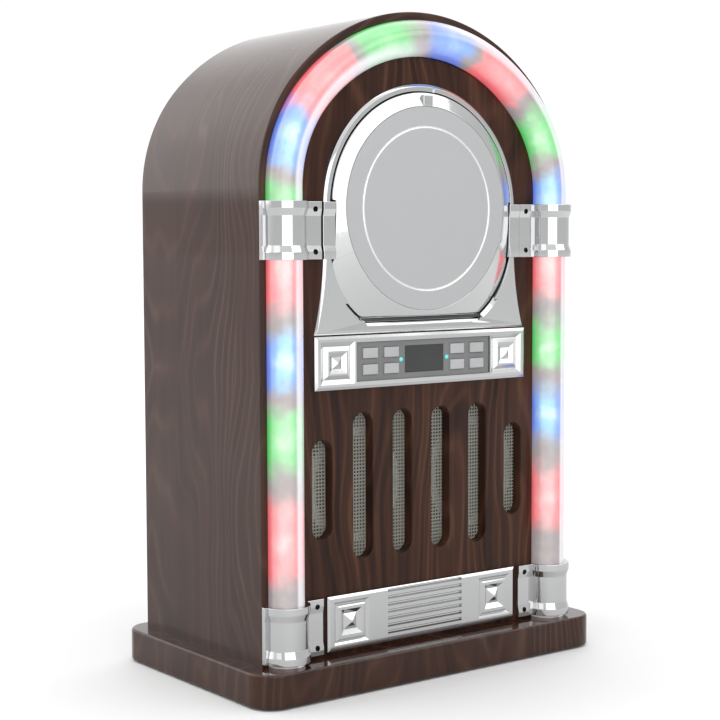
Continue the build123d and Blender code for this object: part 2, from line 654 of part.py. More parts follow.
with BuildPart() as turntable_hub:
    rod_y(0, DOOR_Z, 15.0, DISC_SEAT, DISC_SEAT + 2.5)
    rod_y(0, DOOR_Z, 7.4, DISC_SEAT - 3.0, DISC_SEAT)
    chamfer(turntable_hub.faces().sort_by(Axis.Y)[0].edges(), 1.2)
    rod_y(0, DOOR_Z, 3.5, DISC_SEAT + 2.5, WELL_FLOOR + 1)
    with Locations(Plane(origin=(0, DISC_SEAT - 1.0, DOOR_Z), x_dir=(1, 0, 0), z_dir=(0, -1, 0))):
        with PolarLocations(6.6, 3):
            Sphere(1.3)
    rod_y(0, DOOR_Z, 1.02, -54.05, -40, mode=Mode.SUBTRACT)
finish(turntable_hub, "turntable_hub")

with BuildPart() as sled_rails:
    for rail_z in RAIL_HEIGHTS:
        rod_x(RAIL_Y, rail_z, RAIL_RADIUS, 10, 75)
finish(sled_rails, "sled_rails")

with BuildPart() as laser_sled:
    block((SLED_START - 10, -41, DOOR_Z - 20.5), (SLED_START + 14, -33, DOOR_Z + 20.5))
    block((SLED_START - 6, -40, SCREW_Z - 3), (SLED_START + 6, -34, DOOR_Z - 20))
    rod_y(SLED_START, DOOR_Z, 5.0, -47.5, -40)
    rod_y(SLED_START, DOOR_Z, 3.4, -48, -46.5, mode=Mode.SUBTRACT)
    for rail_z in RAIL_HEIGHTS:
        rod_x(RAIL_Y, rail_z, RAIL_RADIUS + RUNNING_FIT, 0, 60, mode=Mode.SUBTRACT)
    rod_x(RAIL_Y, SCREW_Z, SCREW_RADIUS + RUNNING_FIT, 0, 60, mode=Mode.SUBTRACT)
finish(laser_sled, "laser_sled")

with BuildPart() as pickup_lens:
    rod_y(SLED_START, DOOR_Z, 3.3, -47.6, -46.55)
    fillet(pickup_lens.faces().sort_by(Axis.Y)[0].edges(), 0.7)
finish(pickup_lens, "pickup_lens")

with BuildPart() as lead_screw:
    rod_x(RAIL_Y, SCREW_Z, SCREW_RADIUS, 10.2, 75.1)
    for turn in range(18):
        groove_x = 17.0 + SCREW_PITCH * turn
        rod_x(RAIL_Y, SCREW_Z, SCREW_RADIUS, groove_x, groove_x + 0.8, mode=Mode.SUBTRACT)
        rod_x(RAIL_Y, SCREW_Z, SCREW_RADIUS - 0.3, groove_x, groove_x + 0.8)
finish(lead_screw, "lead_screw")

with BuildPart() as sled_motor:
    rod_x(RAIL_Y, SCREW_Z, 5.5, 75.2, 87)
    fillet(sled_motor.faces().sort_by(Axis.X)[-1].edges(), 1.0)
finish(sled_motor, "sled_motor")


# ---------------------------------------------------------------- control fascia
BUTTON_PLACES = [(x, FASCIA_Z + up) for up in BUTTON_ROWS for x in BUTTON_COLUMNS]

with BuildPart() as control_fascia:
    with BuildSketch(facing(BAFFLE_FRONT)):
        with Locations((0, FASCIA_Z)):
            Rectangle(FASCIA_WIDTH, FASCIA_HEIGHT)
    extrude(amount=BAFFLE_FRONT - FASCIA_FRONT)
    chamfer(control_fascia.faces().sort_by(Axis.Y)[0].edges(), 1.7)
    with BuildSketch(facing(INLAY_FRONT + 1.6)):
        with Locations((0, FASCIA_Z)):
            Rectangle(INLAY_WIDTH + 0.4, INLAY_HEIGHT + 0.4)
    extrude(amount=5, mode=Mode.SUBTRACT)
    with BuildSketch(facing(BAFFLE_FRONT)):
        with Locations(BUTTON_PLACES):
            Rectangle(BUTTON_WIDTH + 2.2, BUTTON_HEIGHT + 2.2)
        with Locations((0, FASCIA_Z)):
            Rectangle(41, 23)
    extrude(amount=3, mode=Mode.SUBTRACT)
    for square_x in (-SQUARE_X, SQUARE_X):
        pyramid_square(square_x, FASCIA_Z, FASCIA_FRONT, *FASCIA_SQUARE)
finish(control_fascia, "control_fascia")

with BuildPart() as fascia_inlay:
    with BuildSketch(facing(INLAY_FRONT + 1.5)):
        with Locations((0, FASCIA_Z)):
            Rectangle(INLAY_WIDTH, INLAY_HEIGHT)
        with Locations(BUTTON_PLACES):
            Rectangle(BUTTON_WIDTH + 0.4, BUTTON_HEIGHT + 0.4, mode=Mode.SUBTRACT)
        with Locations((0, FASCIA_Z)):
            Rectangle(34.2, 18.4, mode=Mode.SUBTRACT)
        with Locations((-LAMP_X, FASCIA_Z), (LAMP_X, FASCIA_Z)):
            Circle(1.6, mode=Mode.SUBTRACT)
    extrude(amount=1.5)
finish(fascia_inlay, "fascia_inlay")

with BuildPart() as display_window:
    block((-17, INLAY_FRONT + 0.15, FASCIA_Z - 9.1), (17, INLAY_FRONT + 1.4, FASCIA_Z + 9.1))
finish(display_window, "display_window")

with BuildPart() as lcd_module:
    block((-20, INLAY_FRONT + 1.6, FASCIA_Z - 11), (20, -62.5, FASCIA_Z + 11))
finish(lcd_module, "lcd_module")

with BuildPart() as indicator_lamps:
    for side in (-1, 1):
        rod_y(side * LAMP_X, FASCIA_Z, 1.5, INLAY_FRONT - 0.5, INLAY_FRONT + 1.5)
    fillet(indicator_lamps.faces().group_by(Axis.Y)[0].edges(), 0.6)
finish(indicator_lamps, "indicator_lamps")

for number, (button_x, button_z) in enumerate(BUTTON_PLACES, start=1):
    with BuildPart() as push_button:
        half_w = BUTTON_WIDTH / 2
        half_h = BUTTON_HEIGHT / 2
        left, right = button_x - half_w, button_x + half_w
        block((left, BUTTON_FRONT, button_z - half_h), (right, -68.3, button_z + half_h))
        fillet(push_button.faces().sort_by(Axis.Y)[0].edges(), 0.5)
        block((button_x - 7, -68.5, button_z - 4.2), (button_x + 7, -67.7, button_z + 4.2))
        rod_y(button_x, button_z, 2.0, -67.7, -63.7)
    finish(push_button, f"button_{number}")

with BuildPart() as control_board:
    block((-68, BAFFLE_BACK + 0.1, FASCIA_Z - 17), (68, BAFFLE_BACK + 1.7, FASCIA_Z + 17))
    for screw_x, screw_z in CONTROL_SCREW_PLACES:
        rod_y(screw_x, screw_z, 1.7, -60, -57, mode=Mode.SUBTRACT)
    for button_x, button_z in BUTTON_PLACES:
        block((button_x - 3, -61.6, button_z - 3), (button_x + 3, BAFFLE_BACK + 0.1, button_z + 3))
        rod_y(button_x, button_z, 1.6, -62.6, -61.6)
finish(control_board, "control_board")


# ---------------------------------------------------------------- lower plate, mesh and loudspeakers
with BuildPart() as lower_plate:
    with BuildSketch(facing(BAFFLE_FRONT)):
        with Locations((0, PLATE_Z)):
            Rectangle(PLATE_WIDTH, PLATE_HEIGHT)
    extrude(amount=BAFFLE_FRONT - PLATE_FRONT)
    chamfer(lower_plate.faces().sort_by(Axis.Y)[0].edges(), 1.5)
    with BuildSketch(facing(PLATE_FRONT)):
        with Locations((0, PLATE_Z)):
            with GridLocations(0, 4.8, 1, 8):
                Rectangle(66, 2.4)
    extrude(amount=-1.4, taper=30, mode=Mode.SUBTRACT)
    for square_x in (-PLATE_SQUARE_X, PLATE_SQUARE_X):
        pyramid_square(square_x, PLATE_Z, PLATE_FRONT, *PLATE_SQUARE)
finish(lower_plate, "lower_plate")

with BuildPart() as grille_mesh:
    block((-102, BAFFLE_BACK + 0.05, 78), (102, BAFFLE_BACK + 0.75, 190))
    for screw_x, screw_z in SPEAKER_SCREW_PLACES:
        rod_y(screw_x, screw_z, 1.7, -61, -57, mode=Mode.SUBTRACT)
finish(grille_mesh, "grille_mesh")


def speaker_piece(label, points):
    """Turn one outline round both loudspeakers' axes; points are radius and depth."""
    with BuildPart() as piece:
        for side in (-1, 1):
            axis_x = side * SPEAKER_X
            with BuildSketch(Plane.XY.offset(SLOT_Z)):
                with BuildLine():
                    Polyline([(axis_x + radius, depth) for radius, depth in points], close=True)
                make_face()
            revolve(axis=Axis((axis_x, 0, SLOT_Z), (0, 1, 0)))
        for screw_x, screw_z in SPEAKER_SCREW_PLACES:
            rod_y(screw_x, screw_z, 1.7, -59, -56.9, mode=Mode.SUBTRACT)
    finish(piece, label)


BASKET = [(33.0, -58.6), (SPEAKER_RADIUS, -58.6), (SPEAKER_RADIUS, -57.0), (33.6, -57.0)]
BASKET += [(19.0, -36.5), (12.0, -36.5), (12.0, -38.0), (18.0, -38.0)]
CONE = [(0.0, -46.5), (9.0, -43.2), (31.2, -58.3), (32.6, -58.3), (9.6, -41.8), (0.0, -45.2)]
MAGNET = [(0.0, -36.4), (20.0, -36.4), (20.0, -24.0), (0.0, -24.0)]
speaker_piece("speaker_baskets", BASKET)
speaker_piece("speaker_cones", CONE)
speaker_piece("speaker_magnets", MAGNET)

BOARD_SCREW_PLACES = [(x, y) for x in (-94.0, -8.0) for y in (-16.0, 54.0)]
BOARD_LOW = PLINTH_TOP + 8.0

with BuildPart() as inner_screws:
    for screw_x, screw_z in SPEAKER_SCREW_PLACES:
        rod_y(screw_x, screw_z, 1.5, -64.95, -56.95)
        rod_y(screw_x, screw_z, 2.8, -56.95, -55.2)
    for screw_x, screw_z in CONTROL_SCREW_PLACES:
        rod_y(screw_x, screw_z, 1.5, -65.75, -57.75)
        rod_y(screw_x, screw_z, 2.8, -57.75, -56.0)
    for screw_x, screw_y in BOARD_SCREW_PLACES:
        rod_z(screw_x, screw_y, 1.5, BOARD_LOW - 6.35, BOARD_LOW + 1.65)
        rod_z(screw_x, screw_y, 2.8, BOARD_LOW + 1.65, BOARD_LOW + 3.4)
finish(inner_screws, "inner_screws")


# ---------------------------------------------------------------- electronics and rear
INLET_X = -36.0
ROCKER_X = 0.0
JACK_X = 34.0
ROCKER_Y = 74.5

with BuildPart() as main_board:
    block((-100, -22, BOARD_LOW), (-2, 60, BOARD_LOW + 1.6))
    block((-90, 40, BOARD_LOW + 1.6), (-50, 46, BOARD_LOW + 26))
    block((-70, 0, BOARD_LOW + 1.6), (-50, 20, BOARD_LOW + 4))
    for capacitor_x in (-40.0, -22.0):
        rod_z(capacitor_x, 35.0, 7.0, BOARD_LOW + 1.6, BOARD_LOW + 22)
    for screw_x, screw_y in BOARD_SCREW_PLACES:
        rod_z(screw_x, screw_y, 1.7, BOARD_LOW - 1, BOARD_LOW + 3, mode=Mode.SUBTRACT)
finish(main_board, "main_board")

with BuildPart() as board_standoffs:
    for screw_x, screw_y in BOARD_SCREW_PLACES:
        rod_z(screw_x, screw_y, 3.5, PLINTH_TOP, BOARD_LOW)
        rod_z(screw_x, screw_y, 1.55, PLINTH_TOP + 1, BOARD_LOW, mode=Mode.SUBTRACT)
finish(board_standoffs, "board_standoffs")

with BuildPart() as transformer:
    block((24, 2, PLINTH_TOP), (92, 26, PLINTH_TOP + 2))
    block((32, 4, PLINTH_TOP + 2), (84, 24, PLINTH_TOP + 44))
    block((42, -6, PLINTH_TOP + 9), (74, 34, PLINTH_TOP + 37))
    fillet(transformer.edges().filter_by(Axis.Z).group_by(Axis.Y)[0], 3)
finish(transformer, "transformer")

with BuildPart() as rear_panel:
    with BuildSketch(facing(REAR_BACK)):
        add(cabinet_face(WALL + 0.3, PLINTH_TOP + 0.2))
        with Locations(REAR_SCREW_PLACES):
            Circle(1.7, mode=Mode.SUBTRACT)
        with Locations((INLET_X, SOCKET_Z)):
            Rectangle(23, 13, mode=Mode.SUBTRACT)
        with Locations((ROCKER_X, SOCKET_Z)):
            Rectangle(22.4, 15, mode=Mode.SUBTRACT)
        with Locations((JACK_X, SOCKET_Z)):
            Circle(5, mode=Mode.SUBTRACT)
        with Locations((0, 230)):
            with GridLocations(0, 11, 1, 7):
                SlotOverall(90, 4.0, mode=Mode.SUBTRACT)
    extrude(amount=REAR_BACK - REAR_FRONT)
finish(rear_panel, "rear_panel")

with BuildPart() as rear_panel_screws:
    for screw_x, screw_z in REAR_SCREW_PLACES:
        rod_y(screw_x, screw_z, 1.5, 62, REAR_BACK + 0.05)
        rod_y(screw_x, screw_z, 3.2, REAR_BACK + 0.05, REAR_BACK + 2.0)
    fillet(rear_panel_screws.faces().group_by(Axis.Y)[-1].edges(), 0.8)
finish(rear_panel_screws, "rear_panel_screws")

with BuildPart() as connector_plate:
    with BuildSketch(facing(REAR_BACK + 2.0)):
        with Locations((0, SOCKET_Z)):
            RectangleRounded(116, 34, 4)
        with Locations((INLET_X, SOCKET_Z)):
            Rectangle(22.4, 12.4, mode=Mode.SUBTRACT)
        with Locations((ROCKER_X, SOCKET_Z)):
            Rectangle(21.4, 14, mode=Mode.SUBTRACT)
        with Locations((JACK_X, SOCKET_Z)):
            Circle(4.2, mode=Mode.SUBTRACT)
    extrude(amount=1.95)
finish(connector_plate, "connector_plate")

with BuildPart() as rear_sockets:
    block((INLET_X - 11, 60, SOCKET_Z - 6), (INLET_X + 11, 78.2, SOCKET_Z + 6))
    with BuildSketch(facing(78.2)):
        with Locations((INLET_X, SOCKET_Z)):
            SlotOverall(17, 8)
    extrude(amount=12, mode=Mode.SUBTRACT)
    for side in (-1, 1):
        rod_y(INLET_X + side * 5.2, SOCKET_Z, 1.2, 66, 76)
    rod_y(JACK_X, SOCKET_Z, 4.0, 64, 78.4)
    rod_y(JACK_X, SOCKET_Z, 1.8, 66, 79, mode=Mode.SUBTRACT)
    block((ROCKER_X - 10.4, 58, SOCKET_Z - 6.8), (ROCKER_X + 10.4, 69, SOCKET_Z + 6.8))
finish(rear_sockets, "rear_sockets")

ROCKER_TILT = 9.0

with BuildPart() as power_rocker:
    tilted = Plane(origin=(ROCKER_X, ROCKER_Y, SOCKET_Z - 6.4)).rotated((0, 0, -ROCKER_TILT))
    with BuildSketch(tilted):
        with BuildLine():
            Polyline((-9.6, -3.0), (9.6, -3.0), (9.6, 3.4), (0, 2.2), (-9.6, 3.4), close=True)
        make_face()
    extrude(amount=12.8)
    fillet(power_rocker.edges().filter_by(Axis.Z), 0.6)
finish(power_rocker, "power_rocker")
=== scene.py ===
"""Looks for the table-top CD jukebox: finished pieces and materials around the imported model.

Shapes are worked out in millimetres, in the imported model's own frame, and become metres in piece().
+Z is up and the front faces -Y.
"""

import json
from math import asin, atan2, cos, degrees, hypot, pi, radians, sin, sqrt

import bmesh
import bpy
from mathutils import Matrix, Vector


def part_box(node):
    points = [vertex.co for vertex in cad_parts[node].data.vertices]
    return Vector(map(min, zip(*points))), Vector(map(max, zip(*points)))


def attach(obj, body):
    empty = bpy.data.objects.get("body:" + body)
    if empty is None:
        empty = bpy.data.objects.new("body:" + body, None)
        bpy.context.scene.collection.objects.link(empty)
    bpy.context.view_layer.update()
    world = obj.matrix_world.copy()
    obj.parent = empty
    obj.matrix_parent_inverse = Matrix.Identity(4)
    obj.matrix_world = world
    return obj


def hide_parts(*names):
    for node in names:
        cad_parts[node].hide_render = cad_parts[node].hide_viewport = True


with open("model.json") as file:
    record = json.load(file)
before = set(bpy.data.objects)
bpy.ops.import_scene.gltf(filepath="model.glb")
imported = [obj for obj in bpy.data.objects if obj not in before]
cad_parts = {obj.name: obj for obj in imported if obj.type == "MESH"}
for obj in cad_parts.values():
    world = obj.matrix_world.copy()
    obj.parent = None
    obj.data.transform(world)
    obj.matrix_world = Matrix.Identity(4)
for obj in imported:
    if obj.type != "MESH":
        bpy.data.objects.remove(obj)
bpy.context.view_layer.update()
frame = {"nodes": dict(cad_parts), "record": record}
UNIT = 0.001


def box(node):
    """Lowest and highest corner of a CAD node, in millimetres."""
    low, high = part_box(node)
    return low / UNIT, high / UNIT


def middle(node):
    """The middle of a CAD node as x and z, in millimetres."""
    low, high = box(node)
    return (low.x + high.x) / 2, (low.z + high.z) / 2


# ---------------------------------------------------------------- sizes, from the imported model
PLINTH_LOW, PLINTH_HIGH = box("plinth")
SHELL_LOW, SHELL_HIGH = box("cabinet_shell")
BAFFLE_LOW, BAFFLE_HIGH = box("front_baffle")
TUBE_LOW, TUBE_HIGH = box("tube_right")
BEZEL_LOW, BEZEL_HIGH = box("cd_bezel")
DISC_LOW, DISC_HIGH = box("cd_door_disc")
DOOR_LOW = box("cd_door_shell")[0]
FASCIA_LOW, FASCIA_HIGH = box("control_fascia")
INLAY_LOW, INLAY_HIGH = box("fascia_inlay")
PLATE_LOW, PLATE_HIGH = box("lower_plate")
MESH_LOW, MESH_HIGH = box("grille_mesh")
REAR_LOW, REAR_HIGH = box("rear_panel")
CONNECTOR_LOW, CONNECTOR_HIGH = box("connector_plate")

HALF_WIDTH = SHELL_HIGH.x
PLINTH_TOP = PLINTH_HIGH.z
SIDE_RADIUS = 108.0
ARCH_RISE = 119.6
WALL = 9.0
SPRING_Z = SHELL_HIGH.z - ARCH_RISE
SIDE_CENTRE_X = HALF_WIDTH - SIDE_RADIUS
TOP_RADIUS = (SIDE_CENTRE_X**2 + ARCH_RISE**2 - SIDE_RADIUS**2) / (2 * (ARCH_RISE - SIDE_RADIUS))
TOP_CENTRE_Z = SHELL_HIGH.z - TOP_RADIUS
ARCH_ANGLE = degrees(atan2(SPRING_Z - TOP_CENTRE_Z, SIDE_CENTRE_X))

TUBE_RADIUS = (TUBE_HIGH.x - TUBE_LOW.x) / 2
TUBE_X = (TUBE_HIGH.x + TUBE_LOW.x) / 2
TUBE_INSET = HALF_WIDTH - TUBE_X
TUBE_Y = TUBE_LOW.y + TUBE_RADIUS
TUBE_BACK = TUBE_HIGH.y
TUBE_WALL = 2.0
REBATE_BACK = TUBE_BACK + 0.2

DOOR_RADIUS = 78.4
DOOR_Z = (DISC_LOW.z + DISC_HIGH.z) / 2
DOOR_BOTTOM_Z = DOOR_LOW.z
DOOR_SIDE_Z = 296.5
DOOR_SIDE_RADIUS = 60.0
DISC_RADIUS = 69.25
DISC_RECESS = -72.3
GROOVE_RADIUS, GROOVE_REACH = 55.0, 0.75
RIM_SLOPE = 0.35
DOOR_BACK = -64.0
BEZEL_FACE = -70.15
HINGE_Y, HINGE_Z = -66.5, 249.2
DOOR_GAP = 0.85
TROUGH_REACH, TROUGH_TOP = 55.0, 248.2
# How far the trough's bottom reaches to each side, its height there, and how deep that is.
TROUGH_LEVELS = ((46.9, 239.4, BEZEL_FACE - 1), (50.3, 243.2, -68.6), (51.0, 243.9, -64.5))
NOTCH_Z, NOTCH_BACK = 398.5, -69.0
EAR_INNER_X, EAR_OUTER_X = 30.8, 35.8
PIN_INNER_X = 19.5
LUG_Z, LUG_HEIGHT = 304.65, 37.3
LUG_INNER_X, LUG_OUTER_X, LUG_Y = 76.4, 86.2, -71.9
TAB_HALF_WIDTH, HOOK_HALF_WIDTH = 4.2, 3.5
CLAMP_SCREW_X, CLAMP_SCREW_RISE = 92.4, 13.8
CLAMP_SHOULDER_Y = -69.6
FASCIA_Z = (FASCIA_LOW.z + FASCIA_HIGH.z) / 2
PLATE_Z = (PLATE_LOW.z + PLATE_HIGH.z) / 2
SOCKET_Z = (CONNECTOR_LOW.z + CONNECTOR_HIGH.z) / 2
INLET_X, JACK_X = -36.0, 34.0
DISPLAY_HOLE = (41, 23)
SLOT_WIDTH, SLOT_PITCH = 16.2, 33.8
SHORT_SLOT, LONG_SLOT = 66.0, 98.8
SLOT_Z = (MESH_LOW.z + MESH_HIGH.z) / 2


# ---------------------------------------------------------------- outlines
def arc(centre, radius, start, turn, steps=24):
    """Points along an arc, from the start angle through a turn, both in degrees."""
    angles = (radians(start + turn * i / steps) for i in range(steps + 1))
    return [(centre[0] + radius * cos(a), centre[1] + radius * sin(a)) for a in angles]


def circle(x, z, radius, steps=48):
    return arc((x, z), radius, 0, 360, steps)[:-1]


def rectangle(x, z, width, height, radius=0.0, steps=6):
    """A rectangle about its centre, with round corners where it has a radius."""
    across, up = width / 2 - radius, height / 2 - radius
    corners = ((across, up, 0), (-across, up, 90), (-across, -up, 180), (across, -up, 270))
    if radius == 0:
        return [(x + dx, z + dz) for dx, dz, start in corners]
    return [p for dx, dz, start in corners for p in arc((x + dx, z + dz), radius, start, 90, steps)]


def slot_outline(x, z, width, height):
    """An upright slot with round ends."""
    reach = height / 2 - width / 2
    return arc((x, z + reach), width / 2, 0, 180) + arc((x, z - reach), width / 2, 180, 180)


def cross(x, z, size, width):
    """The outline of a cross recess."""
    a, b = size / 2, width / 2
    quarter = [(b, b), (b, a), (-b, a)]
    turns = ((1, 0), (0, 1), (-1, 0), (0, -1))
    return [(x + u * c - v * s, z + u * s + v * c) for c, s in turns for u, v in quarter]


def divided(loop, longest):
    """A closed loop with points added so that no side is longer than a length."""
    made = []
    for (x0, z0), (x1, z1) in zip(loop, loop[1:] + loop[:1]):
        parts = max(1, int(hypot(x1 - x0, z1 - z0) / longest + 0.5))
        made += [(x0 + (x1 - x0) * i / parts, z0 + (z1 - z0) * i / parts) for i in range(parts)]
    return made


def straight(start, end, steps):
    """Points from start up to, and not including, end."""
    return [tuple(a + (b - a) * i / steps for a, b in zip(start, end)) for i in range(steps)]


def cabinet_path(inset, base=PLINTH_TOP):
    """The cabinet's outline from its right foot over the arch to its left foot, moved in by inset."""
    half = HALF_WIDTH - inset
    side, top = SIDE_RADIUS - inset, TOP_RADIUS - inset
    right = arc((SIDE_CENTRE_X, SPRING_Z), side, 0, ARCH_ANGLE, 30)
    crown = arc((0, TOP_CENTRE_Z), top, ARCH_ANGLE, 180 - 2 * ARCH_ANGLE, 72)[1:-1]
    left = arc((-SIDE_CENTRE_X, SPRING_Z), side, 180 - ARCH_ANGLE, ARCH_ANGLE, 30)
    rise = straight((half, base), (half, SPRING_Z), 8)
    fall = [(-x, z) for x, z in rise[::-1]]
    return rise + right + crown + left + fall


def door_outline(grow=0.0, corner=3.0):
    """The door's outline, moved out by grow: a round top, bowed sides and a flat bottom."""
    radius, bow = DOOR_RADIUS + grow, DOOR_SIDE_RADIUS + grow
    bow_x, bottom = DOOR_RADIUS - DOOR_SIDE_RADIUS, DOOR_BOTTOM_Z - grow
    drop = degrees(asin((DOOR_SIDE_Z - bottom) / bow))
    end = (bow_x + bow * cos(radians(drop)), bottom)
    side = arc((bow_x, DOOR_SIDE_Z), bow, -drop, drop, 20)
    turn = round_corner(side[1], end, (0, bottom), corner)[::-1]
    right = turn + [p for p in side if p[1] > turn[-1][1]]
    top = arc((0, DOOR_Z), radius, 0, 180, 96)
    left = [(-x, z) for x, z in right[::-1]]
    return right + top + left


def bezel_outline(inset=0.0):
    """The bezel's outline: an arch round the door that flares out to its foot."""
    half, foot = BEZEL_HIGH.z - DOOR_Z - inset, BEZEL_HIGH.x - inset
    base, flare_top = BEZEL_LOW.z + inset, 296.0
    rise, run = flare_top - base, foot - half
    flare = (rise**2 + run**2) / (2 * run)
    turn = degrees(asin(rise / flare))
    right = arc((half + flare, flare_top), flare, 180 + turn, -turn, 20)
    top = arc((0, DOOR_Z), half, 0, 180, 96)
    left = [(-x, z) for x, z in right[::-1]]
    return right + top + left


def round_corner(before, corner, after, radius, steps=4):
    """Points that round one corner off, on a curve that meets both its sides."""
    before, corner, after = Vector(before), Vector(corner), Vector(after)
    start = corner + (before - corner).normalized() * min(radius, 0.45 * (before - corner).length)
    end = corner + (after - corner).normalized() * min(radius, 0.45 * (after - corner).length)
    points = []
    for i in range(steps + 1):
        t = i / steps
        points.append(tuple(start * (1 - t) ** 2 + corner * 2 * t * (1 - t) + end * t**2))
    return points


def rounded(points, radius, steps=4, closed=True):
    """The same outline with every corner rounded off."""
    made = []
    for i, corner in enumerate(points):
        if not closed and i in (0, len(points) - 1):
            made.append(corner)
            continue
        made += round_corner(points[i - 1], corner, points[(i + 1) % len(points)], radius, steps)
    return made


def offset(loop, amount):
    """A closed loop moved outwards by amount along its mitred normals."""
    area = sum(a[0] * b[1] - b[0] * a[1] for a, b in zip(loop, loop[1:] + loop[:1]))
    sign = 1 if area > 0 else -1
    made = []
    for i, point in enumerate(loop):
        before = Vector(point) - Vector(loop[i - 1])
        after = Vector(loop[(i + 1) % len(loop)]) - Vector(point)
        first = Vector((before.y, -before.x)).normalized()
        second = Vector((after.y, -after.x)).normalized()
        mitre = (first + second) / (1 + first.dot(second))
        made.append(tuple(Vector(point) + mitre * amount * sign))
    return made


# ---------------------------------------------------------------- solids
def upright(loop, depth):
    """A loop of (x, z) points at one depth."""
    return [(x, depth, z) for x, z in loop]


def level(loop, height):
    """A loop of (x, y) points at one height."""
    return [(x, y, height) for x, y in loop]


def crosswise(loop, x):
    """A loop of (y, z) points at one place from side to side."""
    return [(x, y, z) for y, z in loop]


def onto_circle(loop, x, z, radius):
    """A loop's points, moved straight towards or away from a centre onto a circle round it."""
    made = []
    for px, pz in loop:
        share = radius / hypot(px - x, pz - z)
        made.append((x + (px - x) * share, z + (pz - z) * share))
    return made


def quarter(bevel, steps):
    """How far a rounded edge stands in, and how deep it is, from its face to its side."""
    angles = [pi / 2 * i / steps for i in range(steps + 1)]
    return [(bevel * (1 - sin(a)), bevel * (1 - cos(a))) for a in angles]


EDGE_STEPS = 4


def edge_stack(loop, front, back, bevel, back_bevel=0.0, hole=False, place=upright):
    """Rings from the front to the back, with the front edge rounded and the back one too if asked."""
    sign = 1 if hole else -1
    toward = 1 if back > front else -1
    rings = []
    for inset, drop in quarter(bevel, EDGE_STEPS):
        rings.append(place(offset(loop, sign * inset), front + toward * drop))
    if back_bevel:
        for inset, drop in quarter(back_bevel, EDGE_STEPS)[::-1]:
            rings.append(place(offset(loop, sign * inset), back - toward * drop))
    else:
        rings.append(place(loop, back))
    return rings


def add_solid(bm, stacks, blind=()):
    """Add a closed solid. The first stack bounds it from cap to cap and the rest are holes through it.

    A blind stack is a hole that opens in the first cap and has its own floor.
    """
    first_cap, last_cap, floors, faces = [], [], [], []
    for stack in list(stacks) + list(blind):
        rings = [[bm.verts.new(p) for p in ring] for ring in stack]
        for here, there in zip(rings, rings[1:]):
            for i in range(len(here)):
                j = (i + 1) % len(here)
                faces.append(bm.faces.new((here[i], here[j], there[j], there[i])))
        ends = (rings[0], rings[-1])
        first, last = ([bm.edges.get((r[i - 1], r[i])) for i in range(len(r))] for r in ends)
        first_cap += first
        if any(stack is b for b in blind):
            floors.append(last)
        else:
            last_cap += last
    for edges in [first_cap, last_cap] + floors:
        filled = bmesh.ops.triangle_fill(bm, edges=edges, use_beauty=True)
        faces += [f for f in filled["geom"] if isinstance(f, bmesh.types.BMFace)]
    bmesh.ops.recalc_face_normals(bm, faces=faces)


def solid(stacks, blind=()):
    """A new mesh that holds one closed solid."""
    bm = bmesh.new()
    add_solid(bm, stacks, blind)
    return bm


def add_block(bm, low, high, bevel=0.3):
    """Add a block between two corners, with all its edges rounded."""
    made = bmesh.ops.create_cube(bm, size=1)["verts"]
    centre = [(a + b) / 2 for a, b in zip(low, high)]
    size = [abs(b - a) for a, b in zip(low, high)]
    for vert in made:
        vert.co = [c + s * v for c, s, v in zip(centre, size, vert.co)]
    edges = list({e for v in made for e in v.link_edges})
    bmesh.ops.bevel(bm, geom=edges, offset=bevel, segments=3, profile=0.5, affect="EDGES")


def path_length(path):
    """The length of an open path."""
    return sum(hypot(b[0] - a[0], b[1] - a[1]) for a, b in zip(path, path[1:]))


def swept(profile, path_of):
    """A closed solid whose profile, as (inset, y) points, runs along path_of(inset)."""
    bm = bmesh.new()
    grain = bm.verts.layers.float_vector.new("grain")
    rows = []
    for inset, depth in profile:
        path, row, run = path_of(inset), [], 0.0
        length = path_length(path)
        for i, (x, z) in enumerate(path):
            if i:
                run += hypot(x - path[i - 1][0], z - path[i - 1][1])
            vert = bm.verts.new((x, depth, z))
            vert[grain] = (depth * UNIT, inset * UNIT, run / length)
            row.append(vert)
        rows.append(row)
    for here, there in zip(rows, rows[1:] + rows[:1]):
        for i in range(len(here) - 1):
            bm.faces.new((here[i], here[i + 1], there[i + 1], there[i]))
    for end in (0, -1):
        bm.faces.new([row[end] for row in rows])
    bmesh.ops.recalc_face_normals(bm, faces=bm.faces)
    return bm


def add_turned(bm, x, z, profile, steps, closed=False):
    """Add a solid turned about the Y axis through (x, z).

    The profile is (radius, y) points, from one end of the axis to the other, or all the way round where
    closed.
    """
    rows, faces = [], []
    for radius, along in profile:
        ring = circle(x, z, radius, steps) if radius > 0 else [(x, z)]
        rows.append([bm.verts.new(point) for point in upright(ring, along)])
    for here, there in zip(rows, rows[1:] + (rows[:1] if closed else [])):
        for i in range(steps):
            j = (i + 1) % steps
            corners = [here[i % len(here)], here[j % len(here)], there[j % len(there)], there[i % len(there)]]
            unique = list(dict.fromkeys(corners))
            if len(unique) > 2:
                faces.append(bm.faces.new(unique))
    bmesh.ops.recalc_face_normals(bm, faces=faces)


